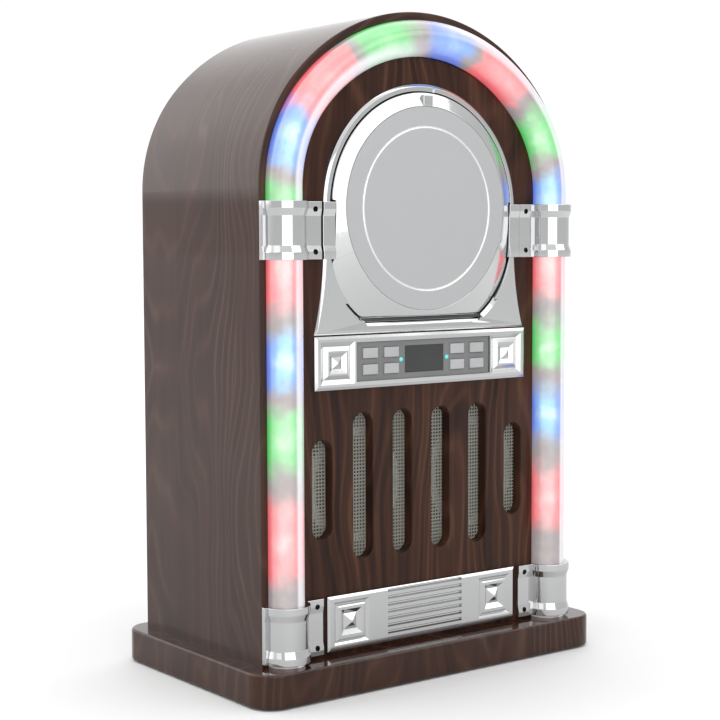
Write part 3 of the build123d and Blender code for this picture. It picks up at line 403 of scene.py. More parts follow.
def piece(name, bm, body, slot_name, node, sharp=35.0, finish=None):
    """Make an object of a mesh in millimetres: it rides on a body and stands for a CAD node.

    The finish is the name of its material, where that isn't the slot's own.
    """
    grain = bm.verts.layers.float_vector.get("grain")
    if grain is None:
        grain = bm.verts.layers.float_vector.new("grain")
        for vert in bm.verts:
            vert[grain] = vert.co * UNIT
    bmesh.ops.scale(bm, vec=(UNIT,) * 3, verts=bm.verts)
    mesh = bpy.data.meshes.new(name)
    bm.to_mesh(mesh)
    bm.free()
    mesh.shade_smooth()
    mesh.set_sharp_from_angle(angle=radians(sharp))
    obj = bpy.data.objects.new(name, mesh)
    bpy.context.scene.collection.objects.link(obj)
    mesh.materials.append(material(finish or slot_name))
    weighted = obj.modifiers.new("weighted normals", "WEIGHTED_NORMAL")
    weighted.keep_sharp = True
    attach(obj, body)
    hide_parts(node)


def cut(bm, cutter):
    """Take the cutter's solid away from a mesh, and give the mesh back."""
    made = []
    for name, source in (("cut_target", bm), ("cut_tool", cutter)):
        mesh = bpy.data.meshes.new(name)
        source.to_mesh(mesh)
        source.free()
        obj = bpy.data.objects.new(name, mesh)
        bpy.context.scene.collection.objects.link(obj)
        made.append(obj)
    target, tool = made
    boolean = target.modifiers.new("cut", "BOOLEAN")
    boolean.operation, boolean.solver, boolean.object = "DIFFERENCE", "EXACT", tool
    bpy.context.view_layer.update()
    result = bmesh.new()
    evaluated = target.evaluated_get(bpy.context.evaluated_depsgraph_get())
    result.from_mesh(evaluated.to_mesh())
    for obj in made:
        mesh = obj.data
        bpy.data.objects.remove(obj)
        bpy.data.meshes.remove(mesh)
    bmesh.ops.remove_doubles(result, verts=result.verts, dist=1e-4)
    return result


# ---------------------------------------------------------------- materials
class Nodes:
    """A material's node tree, with short ways to add nodes and join them."""

    def __init__(self, name):
        self.material = bpy.data.materials.new(name)
        self.material.use_nodes = True
        self.tree = self.material.node_tree
        self.shader = self.tree.nodes["Principled BSDF"]

    def add(self, kind, settings=None, **inputs):
        """Add a node; an input is a value or another node's socket, and _ stands for a space."""
        made = self.tree.nodes.new("ShaderNode" + kind)
        for key, value in (settings or {}).items():
            setattr(made, key, value)
        for key, value in inputs.items():
            self.join(made, key, value)
        return made

    def join(self, made, key, value):
        socket = made.inputs[int(key[1:])] if key[1:].isdigit() else made.inputs[key.replace("_", " ")]
        if isinstance(value, bpy.types.NodeSocket):
            self.tree.links.new(value, socket)
        else:
            socket.default_value = value

    def maths(self, operation, a, b=0.5, c=0.5):
        return self.add("Math", {"operation": operation}, i0=a, i1=b, i2=c).outputs[0]

    def place(self, scale=(1, 1, 1), grain=False):
        """Position in metres, or along the grain, scaled axis by axis."""
        if grain:
            source = self.add("Attribute", {"attribute_name": "grain"}).outputs["Vector"]
        else:
            source = self.add("TexCoord").outputs["Object"]
        return self.add("VectorMath", {"operation": "MULTIPLY"}, i0=source, i1=scale).outputs[0]

    def noise(self, vector, scale, detail=3.0, roughness=0.5, distortion=0.0):
        node = self.add("TexNoise", None, Vector=vector, Scale=scale, Detail=detail)
        self.join(node, "Roughness", roughness)
        self.join(node, "Distortion", distortion)
        return node.outputs["Fac"]

    def ramp(self, factor, stops, ease=False):
        """A colour ramp; each stop is a place and a colour or a grey value."""
        node = self.add("ValToRGB", None, Fac=factor)
        node.color_ramp.interpolation = "EASE" if ease else "LINEAR"
        elements = node.color_ramp.elements
        while len(elements) < len(stops):
            elements.new(0.5)
        for element, (where, colour) in zip(elements, stops):
            element.position = where
            element.color = (colour,) * 3 + (1,) if isinstance(colour, (int, float)) else (*colour, 1)
        return node.outputs["Color"]

    def mix(self, factor, a, b, blend="MIX"):
        settings = {"data_type": "RGBA", "blend_type": blend}
        node = self.add("Mix", settings, i0=factor)
        for key, value in (("i6", a), ("i7", b)):
            self.join(node, key, (*value, 1) if isinstance(value, tuple) and len(value) == 3 else value)
        return node.outputs[2]

    def bump(self, height, strength, distance, normal=None):
        node = self.add("Bump", None, Height=height, Strength=strength, Distance=distance)
        if normal is not None:
            self.join(node, "Normal", normal)
        return node.outputs["Normal"]

    def finish(self, **inputs):
        """Set the shader's own sockets and give the material."""
        for key, value in inputs.items():
            self.join(self.shader, key, value)
        return self.material


def walnut(contrast, gloss, light):
    """Dark walnut foil under a gloss lacquer: nested cathedral veins, ribbons, fibres and pores."""
    n = Nodes("walnut")
    drift = n.noise(n.place((10.0, 10.0, 3.4), grain=True), 1.0, 2.0)
    ripple = n.noise(n.place((48.0, 48.0, 8.0), grain=True), 1.0, 2.0)
    parts = n.add("SeparateXYZ", None, Vector=n.place(grain=True))
    across = n.maths("MULTIPLY_ADD", n.maths("SUBTRACT", drift, 0.5), 0.15, parts.outputs["X"])
    across = n.maths("PINGPONG", n.maths("ADD", across, -0.047), 0.085)
    along = n.maths("PINGPONG", n.maths("ADD", parts.outputs["Z"], -0.10), 0.21)
    along = n.maths("MULTIPLY", along, 0.20)
    rings = n.maths("SQRT", n.maths("ADD", n.maths("POWER", across, 2.0), n.maths("POWER", along, 2.0)))
    rings = n.maths("MULTIPLY_ADD", n.maths("SUBTRACT", ripple, 0.5), 0.007, rings)
    band = n.maths("SINE", n.maths("MULTIPLY", rings, 2 * pi / 0.0210))
    vein = n.maths("SINE", n.maths("MULTIPLY", rings, 2 * pi / 0.0082))
    vein = n.maths("POWER", n.maths("MULTIPLY_ADD", vein, 0.5, 0.5), 3.5)
    patch = n.noise(n.place((14, 14, 5), grain=True), 1.0, 2.0)
    vein = n.maths("MULTIPLY", vein, n.ramp(patch, [(0.38, 0.15), (0.60, 1.0)]))
    ribbon = n.noise(n.place((60, 60, 2.6), grain=True), 1.0, 3.0, 0.6)
    streak = n.noise(n.place((330, 330, 6.5), grain=True), 1.0, 3.0, 0.6)
    fibre = n.noise(n.place((1200, 1200, 20), grain=True), 1.0, 2.0, 0.6)
    tone = n.maths("MULTIPLY_ADD", ribbon, 0.52, n.maths("MULTIPLY", streak, 0.24))
    tone = n.maths("MULTIPLY_ADD", fibre, 0.10, tone)
    tone = n.maths("MULTIPLY_ADD", band, 0.065, tone)
    tone = n.maths("MULTIPLY_ADD", n.maths("SUBTRACT", tone, 0.43), contrast, 0.43)
    tone = n.maths("MULTIPLY_ADD", vein, 0.16, tone)
    dark, brown = (0.0155, 0.0046, 0.0026), (0.0450, 0.0160, 0.0078)
    colour = n.ramp(tone, [(0.34, dark), (0.50, brown), (0.80, light)])
    pores = n.ramp(n.noise(n.place((1700, 1700, 46), grain=True), 1.0, 1.0), [(0.30, 0.0), (0.38, 1.0)])
    colour = n.mix(n.maths("MULTIPLY_ADD", pores, 0.35, 0.65), (0.012, 0.006, 0.005), colour)
    rough = n.maths("MULTIPLY_ADD", n.noise(n.place((40, 40, 40)), 1.0, 4.0), 0.14, 0.30)
    peel = n.bump(n.noise(n.place(), 110.0, 0.0), 0.012, 0.0003)
    under = n.bump(fibre, 0.10, 0.0002, peel)
    n.join(n.shader, "Coat_Normal", peel)
    n.join(n.shader, "Specular_IOR_Level", 0.05)
    n.join(n.shader, "Coat_IOR", 1.39)
    return n.finish(Base_Color=colour, Roughness=rough, Normal=under, Coat_Weight=gloss, Coat_Roughness=0.03)


def pale_walnut():
    """The side and plinth foil, whose veins are faint and greyish."""
    return walnut(contrast=0.38, gloss=1.0, light=(0.092, 0.060, 0.046))


def front_walnut():
    """The front panel's foil, with stronger veins and a thinner lacquer."""
    return walnut(contrast=0.8, gloss=0.5, light=(0.108, 0.047, 0.026))


def chrome():
    """Plated plastic: faint moulding ripple, haze and fine rubbing marks."""
    n = Nodes("chrome")
    colour, half_rough = (0.66, 0.665, 0.67), 0.055
    haze = n.noise(n.place(), 22.0, 4.0, 0.6)
    rubbed = n.noise(n.place((520, 520, 46)), 1.0, 2.0, 0.7)
    tint = n.mix(haze, tuple(c * 0.93 for c in colour), colour)
    rough = n.maths("MULTIPLY_ADD", haze, half_rough, half_rough)
    rough = n.maths("MULTIPLY_ADD", n.maths("GREATER_THAN", rubbed, 0.66), 0.05, rough)
    ripple = n.bump(n.noise(n.place(), 75.0, 2.0), 0.05, 0.0004)
    return n.finish(Base_Color=tint, Metallic=1.0, Roughness=rough, Normal=ripple, IOR=1.5)


def satin_silver():
    """The door disc's silver paint: satin, with a fine flake, and a painted highlight in the groove, where it
    turns to near-white, glossier metal.
    """
    n = Nodes("satin_silver")
    flake = n.add("TexVoronoi", None, Vector=n.place(), Scale=2600.0).outputs["Color"]
    speck = n.add("SeparateColor", None, Color=flake).outputs[0]
    haze = n.noise(n.place(), 14.0, 3.0)
    tone = n.maths("MULTIPLY_ADD", speck, 0.12, n.maths("MULTIPLY", haze, 0.10))
    colour = n.mix(tone, (0.40, 0.405, 0.41), (0.54, 0.545, 0.55))
    rough = n.maths("MULTIPLY_ADD", speck, 0.10, 0.42)
    centred = n.add("VectorMath", {"operation": "SUBTRACT"}, i0=n.place((1, 0, 1)), i1=(0, 0, DOOR_Z * UNIT))
    radius = n.add("VectorMath", {"operation": "LENGTH"}, i0=centred.outputs[0]).outputs["Value"]
    # Painted highlight: along the groove the disc turns near-white, more metallic and glossier, standing in
    # for the light its walls catch.
    bright = n.maths("COMPARE", radius, GROOVE_RADIUS * UNIT, GROOVE_REACH * UNIT)
    colour = n.mix(bright, colour, (0.93, 0.93, 0.93))
    metal = n.maths("MULTIPLY_ADD", bright, 0.60, 0.35)
    rough = n.maths("MULTIPLY_ADD", bright, -0.22, rough)
    grain = n.bump(n.noise(n.place(), 900.0, 2.0), 0.05, 0.0002)
    return n.finish(Base_Color=colour, Metallic=metal, Roughness=rough, Normal=grain)


def moulded(name, colour, roughness, texture=0.12, scale=1400.0, variation=0.16):
    """Moulded plastic or paint: a fine spark-eroded texture, uneven gloss and faint mottling."""
    n = Nodes(name)
    mottle = n.noise(n.place(), 30.0, 4.0, 0.6)
    darker, lighter = (tuple(c * share for c in colour) for share in (1 - variation, 1 + variation))
    tint = n.mix(mottle, darker, lighter)
    speckle = n.noise(n.place(), scale, 2.0)
    rough = n.maths("MULTIPLY_ADD", mottle, 0.16, roughness - 0.08)
    normal = n.bump(speckle, texture, 0.0002)
    return n.finish(Base_Color=tint, Roughness=rough, Normal=normal)


def inlay_grey():
    return moulded("inlay_grey", (0.155, 0.156, 0.158), 0.42, 0.16, 1100.0)


def button_grey():
    return moulded("button_grey", (0.36, 0.365, 0.37), 0.34, 0.08)


def black_plastic():
    return moulded("black_plastic", (0.016, 0.016, 0.017), 0.45)


def dark_plastic():
    return moulded("dark_plastic", (0.045, 0.045, 0.048), 0.40, 0.2)


def white_plastic():
    return moulded("white_plastic", (0.70, 0.70, 0.68), 0.40)


def rubber():
    return moulded("rubber", (0.018, 0.018, 0.018), 0.75, 0.3, 700.0)


def magnet():
    return moulded("magnet", (0.03, 0.03, 0.032), 0.60, 0.35, 600.0)


def paper():
    return moulded("paper", (0.022, 0.022, 0.024), 0.85, 0.5, 500.0, variation=0.3)


def smoked_window():
    """A smoked window, dark and faintly mottled, with flecks of dust."""
    n = Nodes("smoked_window")
    dust = n.ramp(n.noise(n.place(), 900.0, 1.0), [(0.70, 0.0), (0.78, 1.0)])
    shade = n.noise(n.place(), 35.0, 2.0)
    colour = n.mix(shade, (0.016, 0.017, 0.018), (0.028, 0.029, 0.030))
    colour = n.mix(n.maths("MULTIPLY", dust, 0.10), colour, (0.3, 0.3, 0.3))
    rough = n.maths("MULTIPLY_ADD", n.noise(n.place(), 60.0, 3.0), 0.12, 0.16)
    return n.finish(Base_Color=colour, Roughness=rough, Coat_Weight=0.35, Coat_Roughness=0.05)


def lamp():
    """A lit cyan indicator, brighter in its middle."""
    n = Nodes("lamp")
    swirl = n.noise(n.place(), 700.0, 2.0)
    facing = n.add("LayerWeight", None, Blend=0.35).outputs["Facing"]
    glow = n.mix(facing, (0.16, 0.80, 0.72), (0.02, 0.40, 0.38))
    colour = n.mix(swirl, (0.03, 0.25, 0.23), (0.06, 0.35, 0.32))
    return n.finish(Base_Color=colour, Emission_Color=glow, Emission_Strength=0.75, Roughness=0.3)


def mesh_metal():
    """Painted wire mesh in a mottled grey green."""
    n = Nodes("mesh")
    patch = n.noise(n.place(), 55.0, 3.0)
    colour = n.mix(patch, (0.18, 0.18, 0.15), (0.28, 0.275, 0.24))
    rough = n.maths("MULTIPLY_ADD", n.noise(n.place(), 500.0, 2.0), 0.2, 0.50)
    normal = n.bump(n.noise(n.place(), 1800.0, 2.0), 0.25, 0.0001)
    return n.finish(Base_Color=colour, Roughness=rough, Normal=normal)


def steel():
    """Bright zinc: faint spangle and fine drawing marks."""
    n = Nodes("steel")
    spangle = n.add("TexVoronoi", None, Vector=n.place(), Scale=260.0).outputs["Color"]
    facet = n.add("SeparateColor", None, Color=spangle).outputs[0]
    marks = n.noise(n.place((60, 60, 1400)), 1.0, 2.0, 0.7)
    colour = n.mix(facet, (0.46, 0.465, 0.47), (0.62, 0.62, 0.625))
    rough = n.maths("MULTIPLY_ADD", marks, 0.22, 0.18)
    return n.finish(Base_Color=colour, Metallic=1.0, Roughness=rough, Normal=n.bump(marks, 0.08, 0.0001))


def black_steel():
    """Black zinc with small patches of bright wear."""
    n = Nodes("black_steel")
    worn = n.ramp(n.noise(n.place(), 420.0, 4.0, 0.7), [(0.62, 0.0), (0.74, 1.0)])
    colour = n.mix(n.maths("MULTIPLY", worn, 0.35), (0.012, 0.012, 0.013), (0.14, 0.14, 0.145))
    rough = n.maths("MULTIPLY_ADD", worn, -0.12, 0.42)
    return n.finish(Base_Color=colour, Metallic=0.7, Roughness=rough, Normal=n.bump(worn, 0.1, 0.0001))


def board_green():
    """A circuit board: green mask over paler tracks."""
    n = Nodes("board_green")
    tracks = n.add("TexBrick", None, Vector=n.place((1, 1, 1)), Scale=90.0).outputs["Fac"]
    patch = n.noise(n.place(), 80.0, 3.0)
    colour = n.mix(tracks, (0.012, 0.085, 0.035), (0.022, 0.150, 0.060))
    colour = n.mix(n.maths("MULTIPLY", patch, 0.3), colour, (0.010, 0.050, 0.024))
    rough = n.maths("MULTIPLY_ADD", patch, 0.15, 0.22)
    return n.finish(Base_Color=colour, Roughness=rough, Normal=n.bump(tracks, 0.3, 0.0001))


def lens():
    """The pickup's lens, with its bluish coating."""
    n = Nodes("lens")
    facing = n.add("LayerWeight", None, Blend=0.4).outputs["Facing"]
    smear = n.noise(n.place(), 500.0, 2.0)
    colour = n.mix(facing, (0.05, 0.07, 0.16), (0.22, 0.12, 0.34))
    rough = n.maths("MULTIPLY_ADD", smear, 0.06, 0.03)
    return n.finish(Base_Color=colour, Roughness=rough, Coat_Weight=1.0, Coat_Roughness=0.03)


def softwood():
    """Plain unlacquered wood: stretched grain with a fine fibre."""
    n = Nodes("softwood")
    bands = n.noise(n.place((70, 70, 3)), 1.0, 4.0, 0.6, 0.4)
    fibre = n.noise(n.place((900, 900, 30)), 1.0, 2.0)
    tone = n.maths("MULTIPLY_ADD", fibre, 0.35, n.maths("MULTIPLY", bands, 0.75))
    colour = n.ramp(tone, [(0.30, (0.36, 0.22, 0.11)), (0.75, (0.62, 0.44, 0.26))])
    rough = n.maths("MULTIPLY_ADD", bands, 0.15, 0.6)
    return n.finish(Base_Color=colour, Roughness=rough, Normal=n.bump(fibre, 0.3, 0.0003))


def hardboard():
    """Dark pressed board with a fine fibre fleck."""
    n = Nodes("hardboard")
    fleck = n.noise(n.place((700, 700, 420)), 1.0, 3.0, 0.7)
    patch = n.noise(n.place(), 12.0, 4.0, 0.6)
    tone = n.maths("MULTIPLY_ADD", patch, 0.5, n.maths("MULTIPLY", fleck, 0.5))
    colour = n.ramp(tone, [(0.30, (0.016, 0.013, 0.011)), (0.72, (0.050, 0.040, 0.034))])
    rough = n.maths("MULTIPLY_ADD", fleck, 0.22, 0.48)
    return n.finish(Base_Color=colour, Roughness=rough, Normal=n.bump(fleck, 0.25, 0.0002))


# Each lamp colour has three parts: deep at the tube's sides, paler along the middle, brightest at its lamp.
LIGHTS = {
    "red": ((0.84, 0.14, 0.16), (0.91, 0.50, 0.50), (0.96, 0.63, 0.62)),
    "blue": ((0.13, 0.22, 0.75), (0.38, 0.70, 0.98), (0.64, 0.95, 1.0)),
    "green": ((0.10, 0.58, 0.14), (0.42, 0.81, 0.44), (0.60, 0.94, 0.60)),
    "unlit": ((0.30, 0.26, 0.265), (0.42, 0.37, 0.37), (0.42, 0.37, 0.37)),
}
# Where each tube is which colour, as shares of its length; between two places the colour turns softly.
TUBE_RUNS = {
    "arch": [
        (0.00, "blue"), (0.09, "blue"), (0.125, "unlit"), (0.16, "green"), (0.205, "green"), (0.25, "unlit"),
        (0.29, "red"), (0.375, "red"), (0.405, "unlit"), (0.43, "blue"), (0.485, "blue"), (0.52, "unlit"),
        (0.575, "green"), (0.635, "green"), (0.675, "unlit"), (0.70, "red"), (0.785, "red"), (0.825, "blue"),
        (0.885, "blue"), (0.92, "unlit"), (0.955, "green"), (1.00, "green"),
    ],
    "left": [
        (0.00, "unlit"), (0.17, "unlit"), (0.24, "red"), (0.34, "red"), (0.42, "unlit"), (0.49, "green"),
        (0.56, "green"), (0.62, "unlit"), (0.67, "blue"), (0.73, "blue"), (0.79, "unlit"), (0.85, "red"),
        (1.00, "red"),
    ],
    "right": [
        (0.00, "unlit"), (0.21, "unlit"), (0.28, "red"), (0.35, "red"), (0.43, "unlit"), (0.50, "blue"),
        (0.56, "blue"), (0.63, "unlit"), (0.675, "green"), (0.73, "green"), (0.80, "unlit"), (0.86, "red"),
        (1.00, "red"),
    ],
}


def lit_stops(which, part):
    """The colour stops along one tube, brightest halfway along each lit run."""
    stops = []
    for (at, name), (before, last) in zip(TUBE_RUNS[which], TUBE_RUNS[which][:1] + TUBE_RUNS[which]):
        if part == 1 and name == last and at > before:
            stops.append(((at + before) / 2, LIGHTS[name][2]))
        stops.append((at, LIGHTS[name][part]))
    return stops


def frosted_tube(which):
    """A frosted diffuser lit from inside: colour runs along it, deeper at its sides than in front, and a
    painted reflection whitens the side that faces +X.
    """
    n = Nodes("frosted_tube_" + which)
    source = n.add("Attribute", {"attribute_name": "grain"}).outputs["Vector"]
    parts = n.add("SeparateXYZ", None, Vector=source)
    blur = n.noise(n.place(), 62.0, 2.0, 0.5)
    run = n.maths("MULTIPLY_ADD", n.maths("SUBTRACT", blur, 0.5), 0.075, parts.outputs["Z"])
    deep, pale = (n.ramp(run, lit_stops(which, part), ease=True) for part in (0, 1))
    facing = n.add("LayerWeight", None, Blend=0.5).outputs["Facing"]
    patch = n.noise(n.place((1, 1, 0.55)), 95.0, 3.0, 0.6)
    spread = n.maths("MULTIPLY_ADD", n.maths("SUBTRACT", patch, 0.5), -0.22, facing)
    toward_side = n.ramp(spread, [(0.020, 0.0), (0.14, 0.55), (0.46, 1.0)])
    glow = n.mix(toward_side, pale, deep)
    # Painted reflection: where the wall faces +X its glow is mixed towards white, standing in for the studio
    # light mirrored on that side.
    normal = n.add("SeparateXYZ", None, Vector=n.add("TexCoord").outputs["Normal"]).outputs["X"]
    painted_reflection = n.maths("MULTIPLY", n.ramp(normal, [(0.0, 0.0), (0.16, 1.0), (0.60, 0.65)]), 0.72)
    glow = n.mix(painted_reflection, glow, (0.86, 0.85, 0.90))
    cloud = n.maths("MULTIPLY_ADD", n.noise(n.place(), 110.0, 3.0), 0.30, 0.86)
    glow = n.mix(1.0, glow, n.add("CombineColor", None, i0=cloud, i1=cloud, i2=cloud).outputs[0], "MULTIPLY")
    frost = n.bump(n.noise(n.place(), 1200.0, 2.0), 0.05, 0.0002)
    rough = n.maths("MULTIPLY_ADD", n.noise(n.place(), 40.0, 3.0), 0.10, 0.16)
    return n.finish(
        Base_Color=n.mix(0.7, glow, (0.06, 0.06, 0.06)),
        Emission_Color=glow,
        Emission_Strength=0.80,
        Roughness=rough,
        Normal=frost,
        Coat_Weight=0.8,
        Coat_Roughness=0.05,
    )


MADE_MATERIALS = {}
MAKERS = {
    maker.__name__: maker
    for maker in (
        pale_walnut, front_walnut, chrome, satin_silver, inlay_grey, button_grey, black_plastic,
        dark_plastic, white_plastic, rubber, magnet, paper, smoked_window, lamp, steel, black_steel,
        board_green, lens, softwood, hardboard,
    )
}
MAKERS["mesh"] = mesh_metal
MAKERS["tube_arch"] = lambda: frosted_tube("arch")
MAKERS["tube_left"] = lambda: frosted_tube("left")
MAKERS["tube_right"] = lambda: frosted_tube("right")


def material(name):
    """A slot's material, or one of the finishes that share a slot, made once."""
    if name not in MADE_MATERIALS:
        MADE_MATERIALS[name] = MAKERS[name]()
    return MADE_MATERIALS[name]


# ---------------------------------------------------------------- cabinet and plinth
def make_plinth():
    """The plinth, with its feet recessed under it and its counterbored screw holes."""
    width, depth = PLINTH_HIGH.x - PLINTH_LOW.x, PLINTH_HIGH.y - PLINTH_LOW.y
    outline = rectangle(0, 0, width, depth, 18.0, 16)
    body = edge_stack(outline, PLINTH_LOW.z, PLINTH_TOP, 0.8, 1.6, place=level)
    screws = []
    bottom, shoulder = PLINTH_LOW.z, PLINTH_LOW.z + 6.0
    counterbore = ((4.2, bottom), (4.2, shoulder), (2.2, shoulder), (2.2, PLINTH_TOP))
    for x in (-116.0, 116.0):
        for y in (-36.0, 44.0):
            screws.append([level(circle(x, y, radius, 32), height) for radius, height in counterbore])
    feet = []
    for x in (-118.0, 118.0):
        for y in (-64.0, 64.0):
            recess = circle(x, y, 8.3, 40)
            feet.append([level(recess, bottom), level(recess, bottom + 2.0)])
    piece("plinth_gloss", solid([body] + screws, feet), "cabinet", "walnut", "plinth", finish="pale_walnut")


def make_cabinet_shell():
    """The arched shell: one thick profile carried up both sides and over the top."""
    front, back = SHELL_LOW.y, SHELL_HIGH.y
    rim = TUBE_INSET - TUBE_RADIUS - 0.25
    profile = [(0, back), (0, front), (rim, front), (rim, REBATE_BACK), (WALL, REBATE_BACK), (WALL, back)]
    length = path_length(cabinet_path(0))
    grain_start = 0.322
    bm = swept(rounded(profile, 0.7), cabinet_path)
    grain = bm.verts.layers.float_vector["grain"]
    for vert in bm.verts:
        across, depth, run = vert[grain]
        vert[grain] = (across, depth, run * length * UNIT + grain_start)
    piece("cabinet_shell_gloss", bm, "cabinet", "walnut", "cabinet_shell", finish="pale_walnut")


def make_baffle():
    """The front panel: stepped for the tubes, with six sound slots, the door hole and the key hole."""
    front, back = BAFFLE_LOW.y, BAFFLE_HIGH.y
    face_inset = TUBE_INSET + TUBE_RADIUS + 0.3
    base_inset = WALL + 0.2
    levels = [(face_inset + inset, front + drop) for inset, drop in quarter(0.5, 4)]
    levels += [(face_inset, REBATE_BACK), (base_inset, REBATE_BACK), (base_inset, back)]
    outer = [upright(cabinet_path(inset), depth) for inset, depth in levels]
    holes = []
    for column in (-2.5, -1.5, -0.5, 0.5, 1.5, 2.5):
        height = SHORT_SLOT if abs(column) > 2 else LONG_SLOT
        slot = slot_outline(column * SLOT_PITCH, SLOT_Z, SLOT_WIDTH, height)
        holes.append(edge_stack(slot, front, back, 0.9, hole=True))
    trough = [(-58, 239.3), (58, 239.3)]
    above = [(x, z) for x, z in door_outline(3.3) if z > 247.3]
    for hole in (above + trough, rectangle(0, FASCIA_Z, 114, 23)):
        holes.append(edge_stack(hole, front, back, 0.2, hole=True))
    bm = solid([outer] + holes)
    piece("front_baffle_gloss", bm, "cabinet", "walnut", "front_baffle", finish="front_walnut")


def tube_profile():
    """The diffuser's section as (inset, y) points: a round front with an open back."""
    lift = degrees(asin((TUBE_BACK - TUBE_Y) / TUBE_RADIUS))
    inner_radius = TUBE_RADIUS - TUBE_WALL
    inner_lift = degrees(asin((TUBE_BACK - TUBE_Y) / inner_radius))
    centre = (TUBE_INSET, TUBE_Y)
    outside = arc(centre, TUBE_RADIUS, lift, -180 - 2 * lift, 40)
    inside = arc(centre, inner_radius, -180 - inner_lift, 180 + 2 * inner_lift, 32)
    return outside + inside


def make_tubes():
    """The arch and the two columns of frosted tube."""
    start = box("tube_arch")[0].z
    arch = swept(tube_profile(), lambda inset: cabinet_path(inset, start))
    piece("light_tube_arch", arch, "cabinet", "frosted_tube", "tube_arch", finish="tube_arch")
    for which, side in (("left", -1), ("right", 1)):
        def column(inset):
            x = side * (HALF_WIDTH - inset)
            return straight((x, TUBE_LOW.z), (x, TUBE_HIGH.z), 40) + [(x, TUBE_HIGH.z)]
        name, node, bm = "light_tube_" + which, "tube_" + which, swept(tube_profile(), column)
        piece(name, bm, "cabinet", "frosted_tube", node, finish=node)


# ---------------------------------------------------------------- chrome clamps
def ridged_levels(height):
    """Heights from bottom to top with how much of the rim's depth each has: 1 on the rims, 0 between."""
    half, rim, taper = height / 2, 4.8, 4.4
    edge = [(-half + drop, 1.0, inset) for inset, drop in quarter(0.35, 3)]
    eased = ((-0.05, 1.0), (0.0, 0.988), (0.06, 0.94), (0.94, 0.06), (1.0, 0.012), (1.05, 0.0))
    lower = edge + [(-half + rim + taper * t, share, 0.0) for t, share in eased]
    return lower + [(-z, share, inset) for z, share, inset in lower[::-1]]


def clamp_section(side, band, plate, inset):
    """One horizontal section of a clamp: its base plate and the band round the tube."""
    rim_back = BAFFLE_LOW.y
    shell_front = SHELL_LOW.y - 0.05
    bore = TUBE_RADIUS + 0.3
    inner_x, outer_x = 87.1 + inset, HALF_WIDTH - inset
    band, plate = band - inset, plate - inset
    reach = sqrt(band**2 - (plate + TUBE_Y) ** 2)
    turn = degrees(asin((plate + TUBE_Y) / band))
    front = arc((TUBE_X, TUBE_Y), band, 180 + turn, 180 - 2 * turn, 48)
    inner_cut, outer_cut = (degrees(asin((y - TUBE_Y) / bore)) for y in (rim_back, shell_front))
    hole = arc((TUBE_X, TUBE_Y), bore, outer_cut, -180 - outer_cut - inner_cut, 40)
    first = [(inner_x, rim_back), (inner_x, -plate + 0.3), (inner_x + 0.3, -plate)]
    first.append((TUBE_X - reach - 0.4, -plate))
    last = [(TUBE_X + reach + 0.05, -plate), (outer_x - 0.3, -plate), (outer_x, -plate + 0.3)]
    last.append((outer_x, shell_front))
    return [(side * x, y) for x, y in first + front + last + hole]


def make_clamp(node):
    """One clamp, with the two holes for its screws."""
    low, high = box(node)
    x, centre = middle(node)
    side = 1 if x > 0 else -1
    rings = []
    for z, share, inset in ridged_levels(high.z - low.z):
        section = clamp_section(side, TUBE_RADIUS + 2.3 + 1.5 * share, 71.2 + share, inset)
        rings.append(level(section, centre + z))
    bm = solid([rings])
    tool = bmesh.new()
    shoulder = CLAMP_SHOULDER_Y
    profile = [(0, -80), (1.9, -80), (1.9, shoulder), (1.3, shoulder), (1.3, -60), (0, -60)]
    for up in (-CLAMP_SCREW_RISE, CLAMP_SCREW_RISE):
        add_turned(tool, side * CLAMP_SCREW_X, centre + up, profile, 32)
    piece(node + "_plated", cut(bm, tool), "cabinet", "chrome", node, sharp=40)


def make_clamp_screws():
    """Eight small black screws with cross recesses, two sunk in each clamp."""
    bm = bmesh.new()
    low, high = box("clamp_screws")
    for side in (-1, 1):
        for clamp_node in ("clamp_lower_right", "clamp_upper_right"):
            for up in (-CLAMP_SCREW_RISE, CLAMP_SCREW_RISE):
                x, z = side * CLAMP_SCREW_X, middle(clamp_node)[1] + up
                head = edge_stack(circle(x, z, 1.7, 28), low.y, CLAMP_SHOULDER_Y, 0.5)
                shank = [upright(circle(x, z, 1.0, 28), depth) for depth in (CLAMP_SHOULDER_Y, high.y)]
                recess = cross(x, z, 1.7, 0.5)
                add_solid(bm, [head + shank], [[upright(recess, low.y), upright(recess, low.y + 0.7)]])
    piece("clamp_screws_black", bm, "cabinet", "black_steel", "clamp_screws")


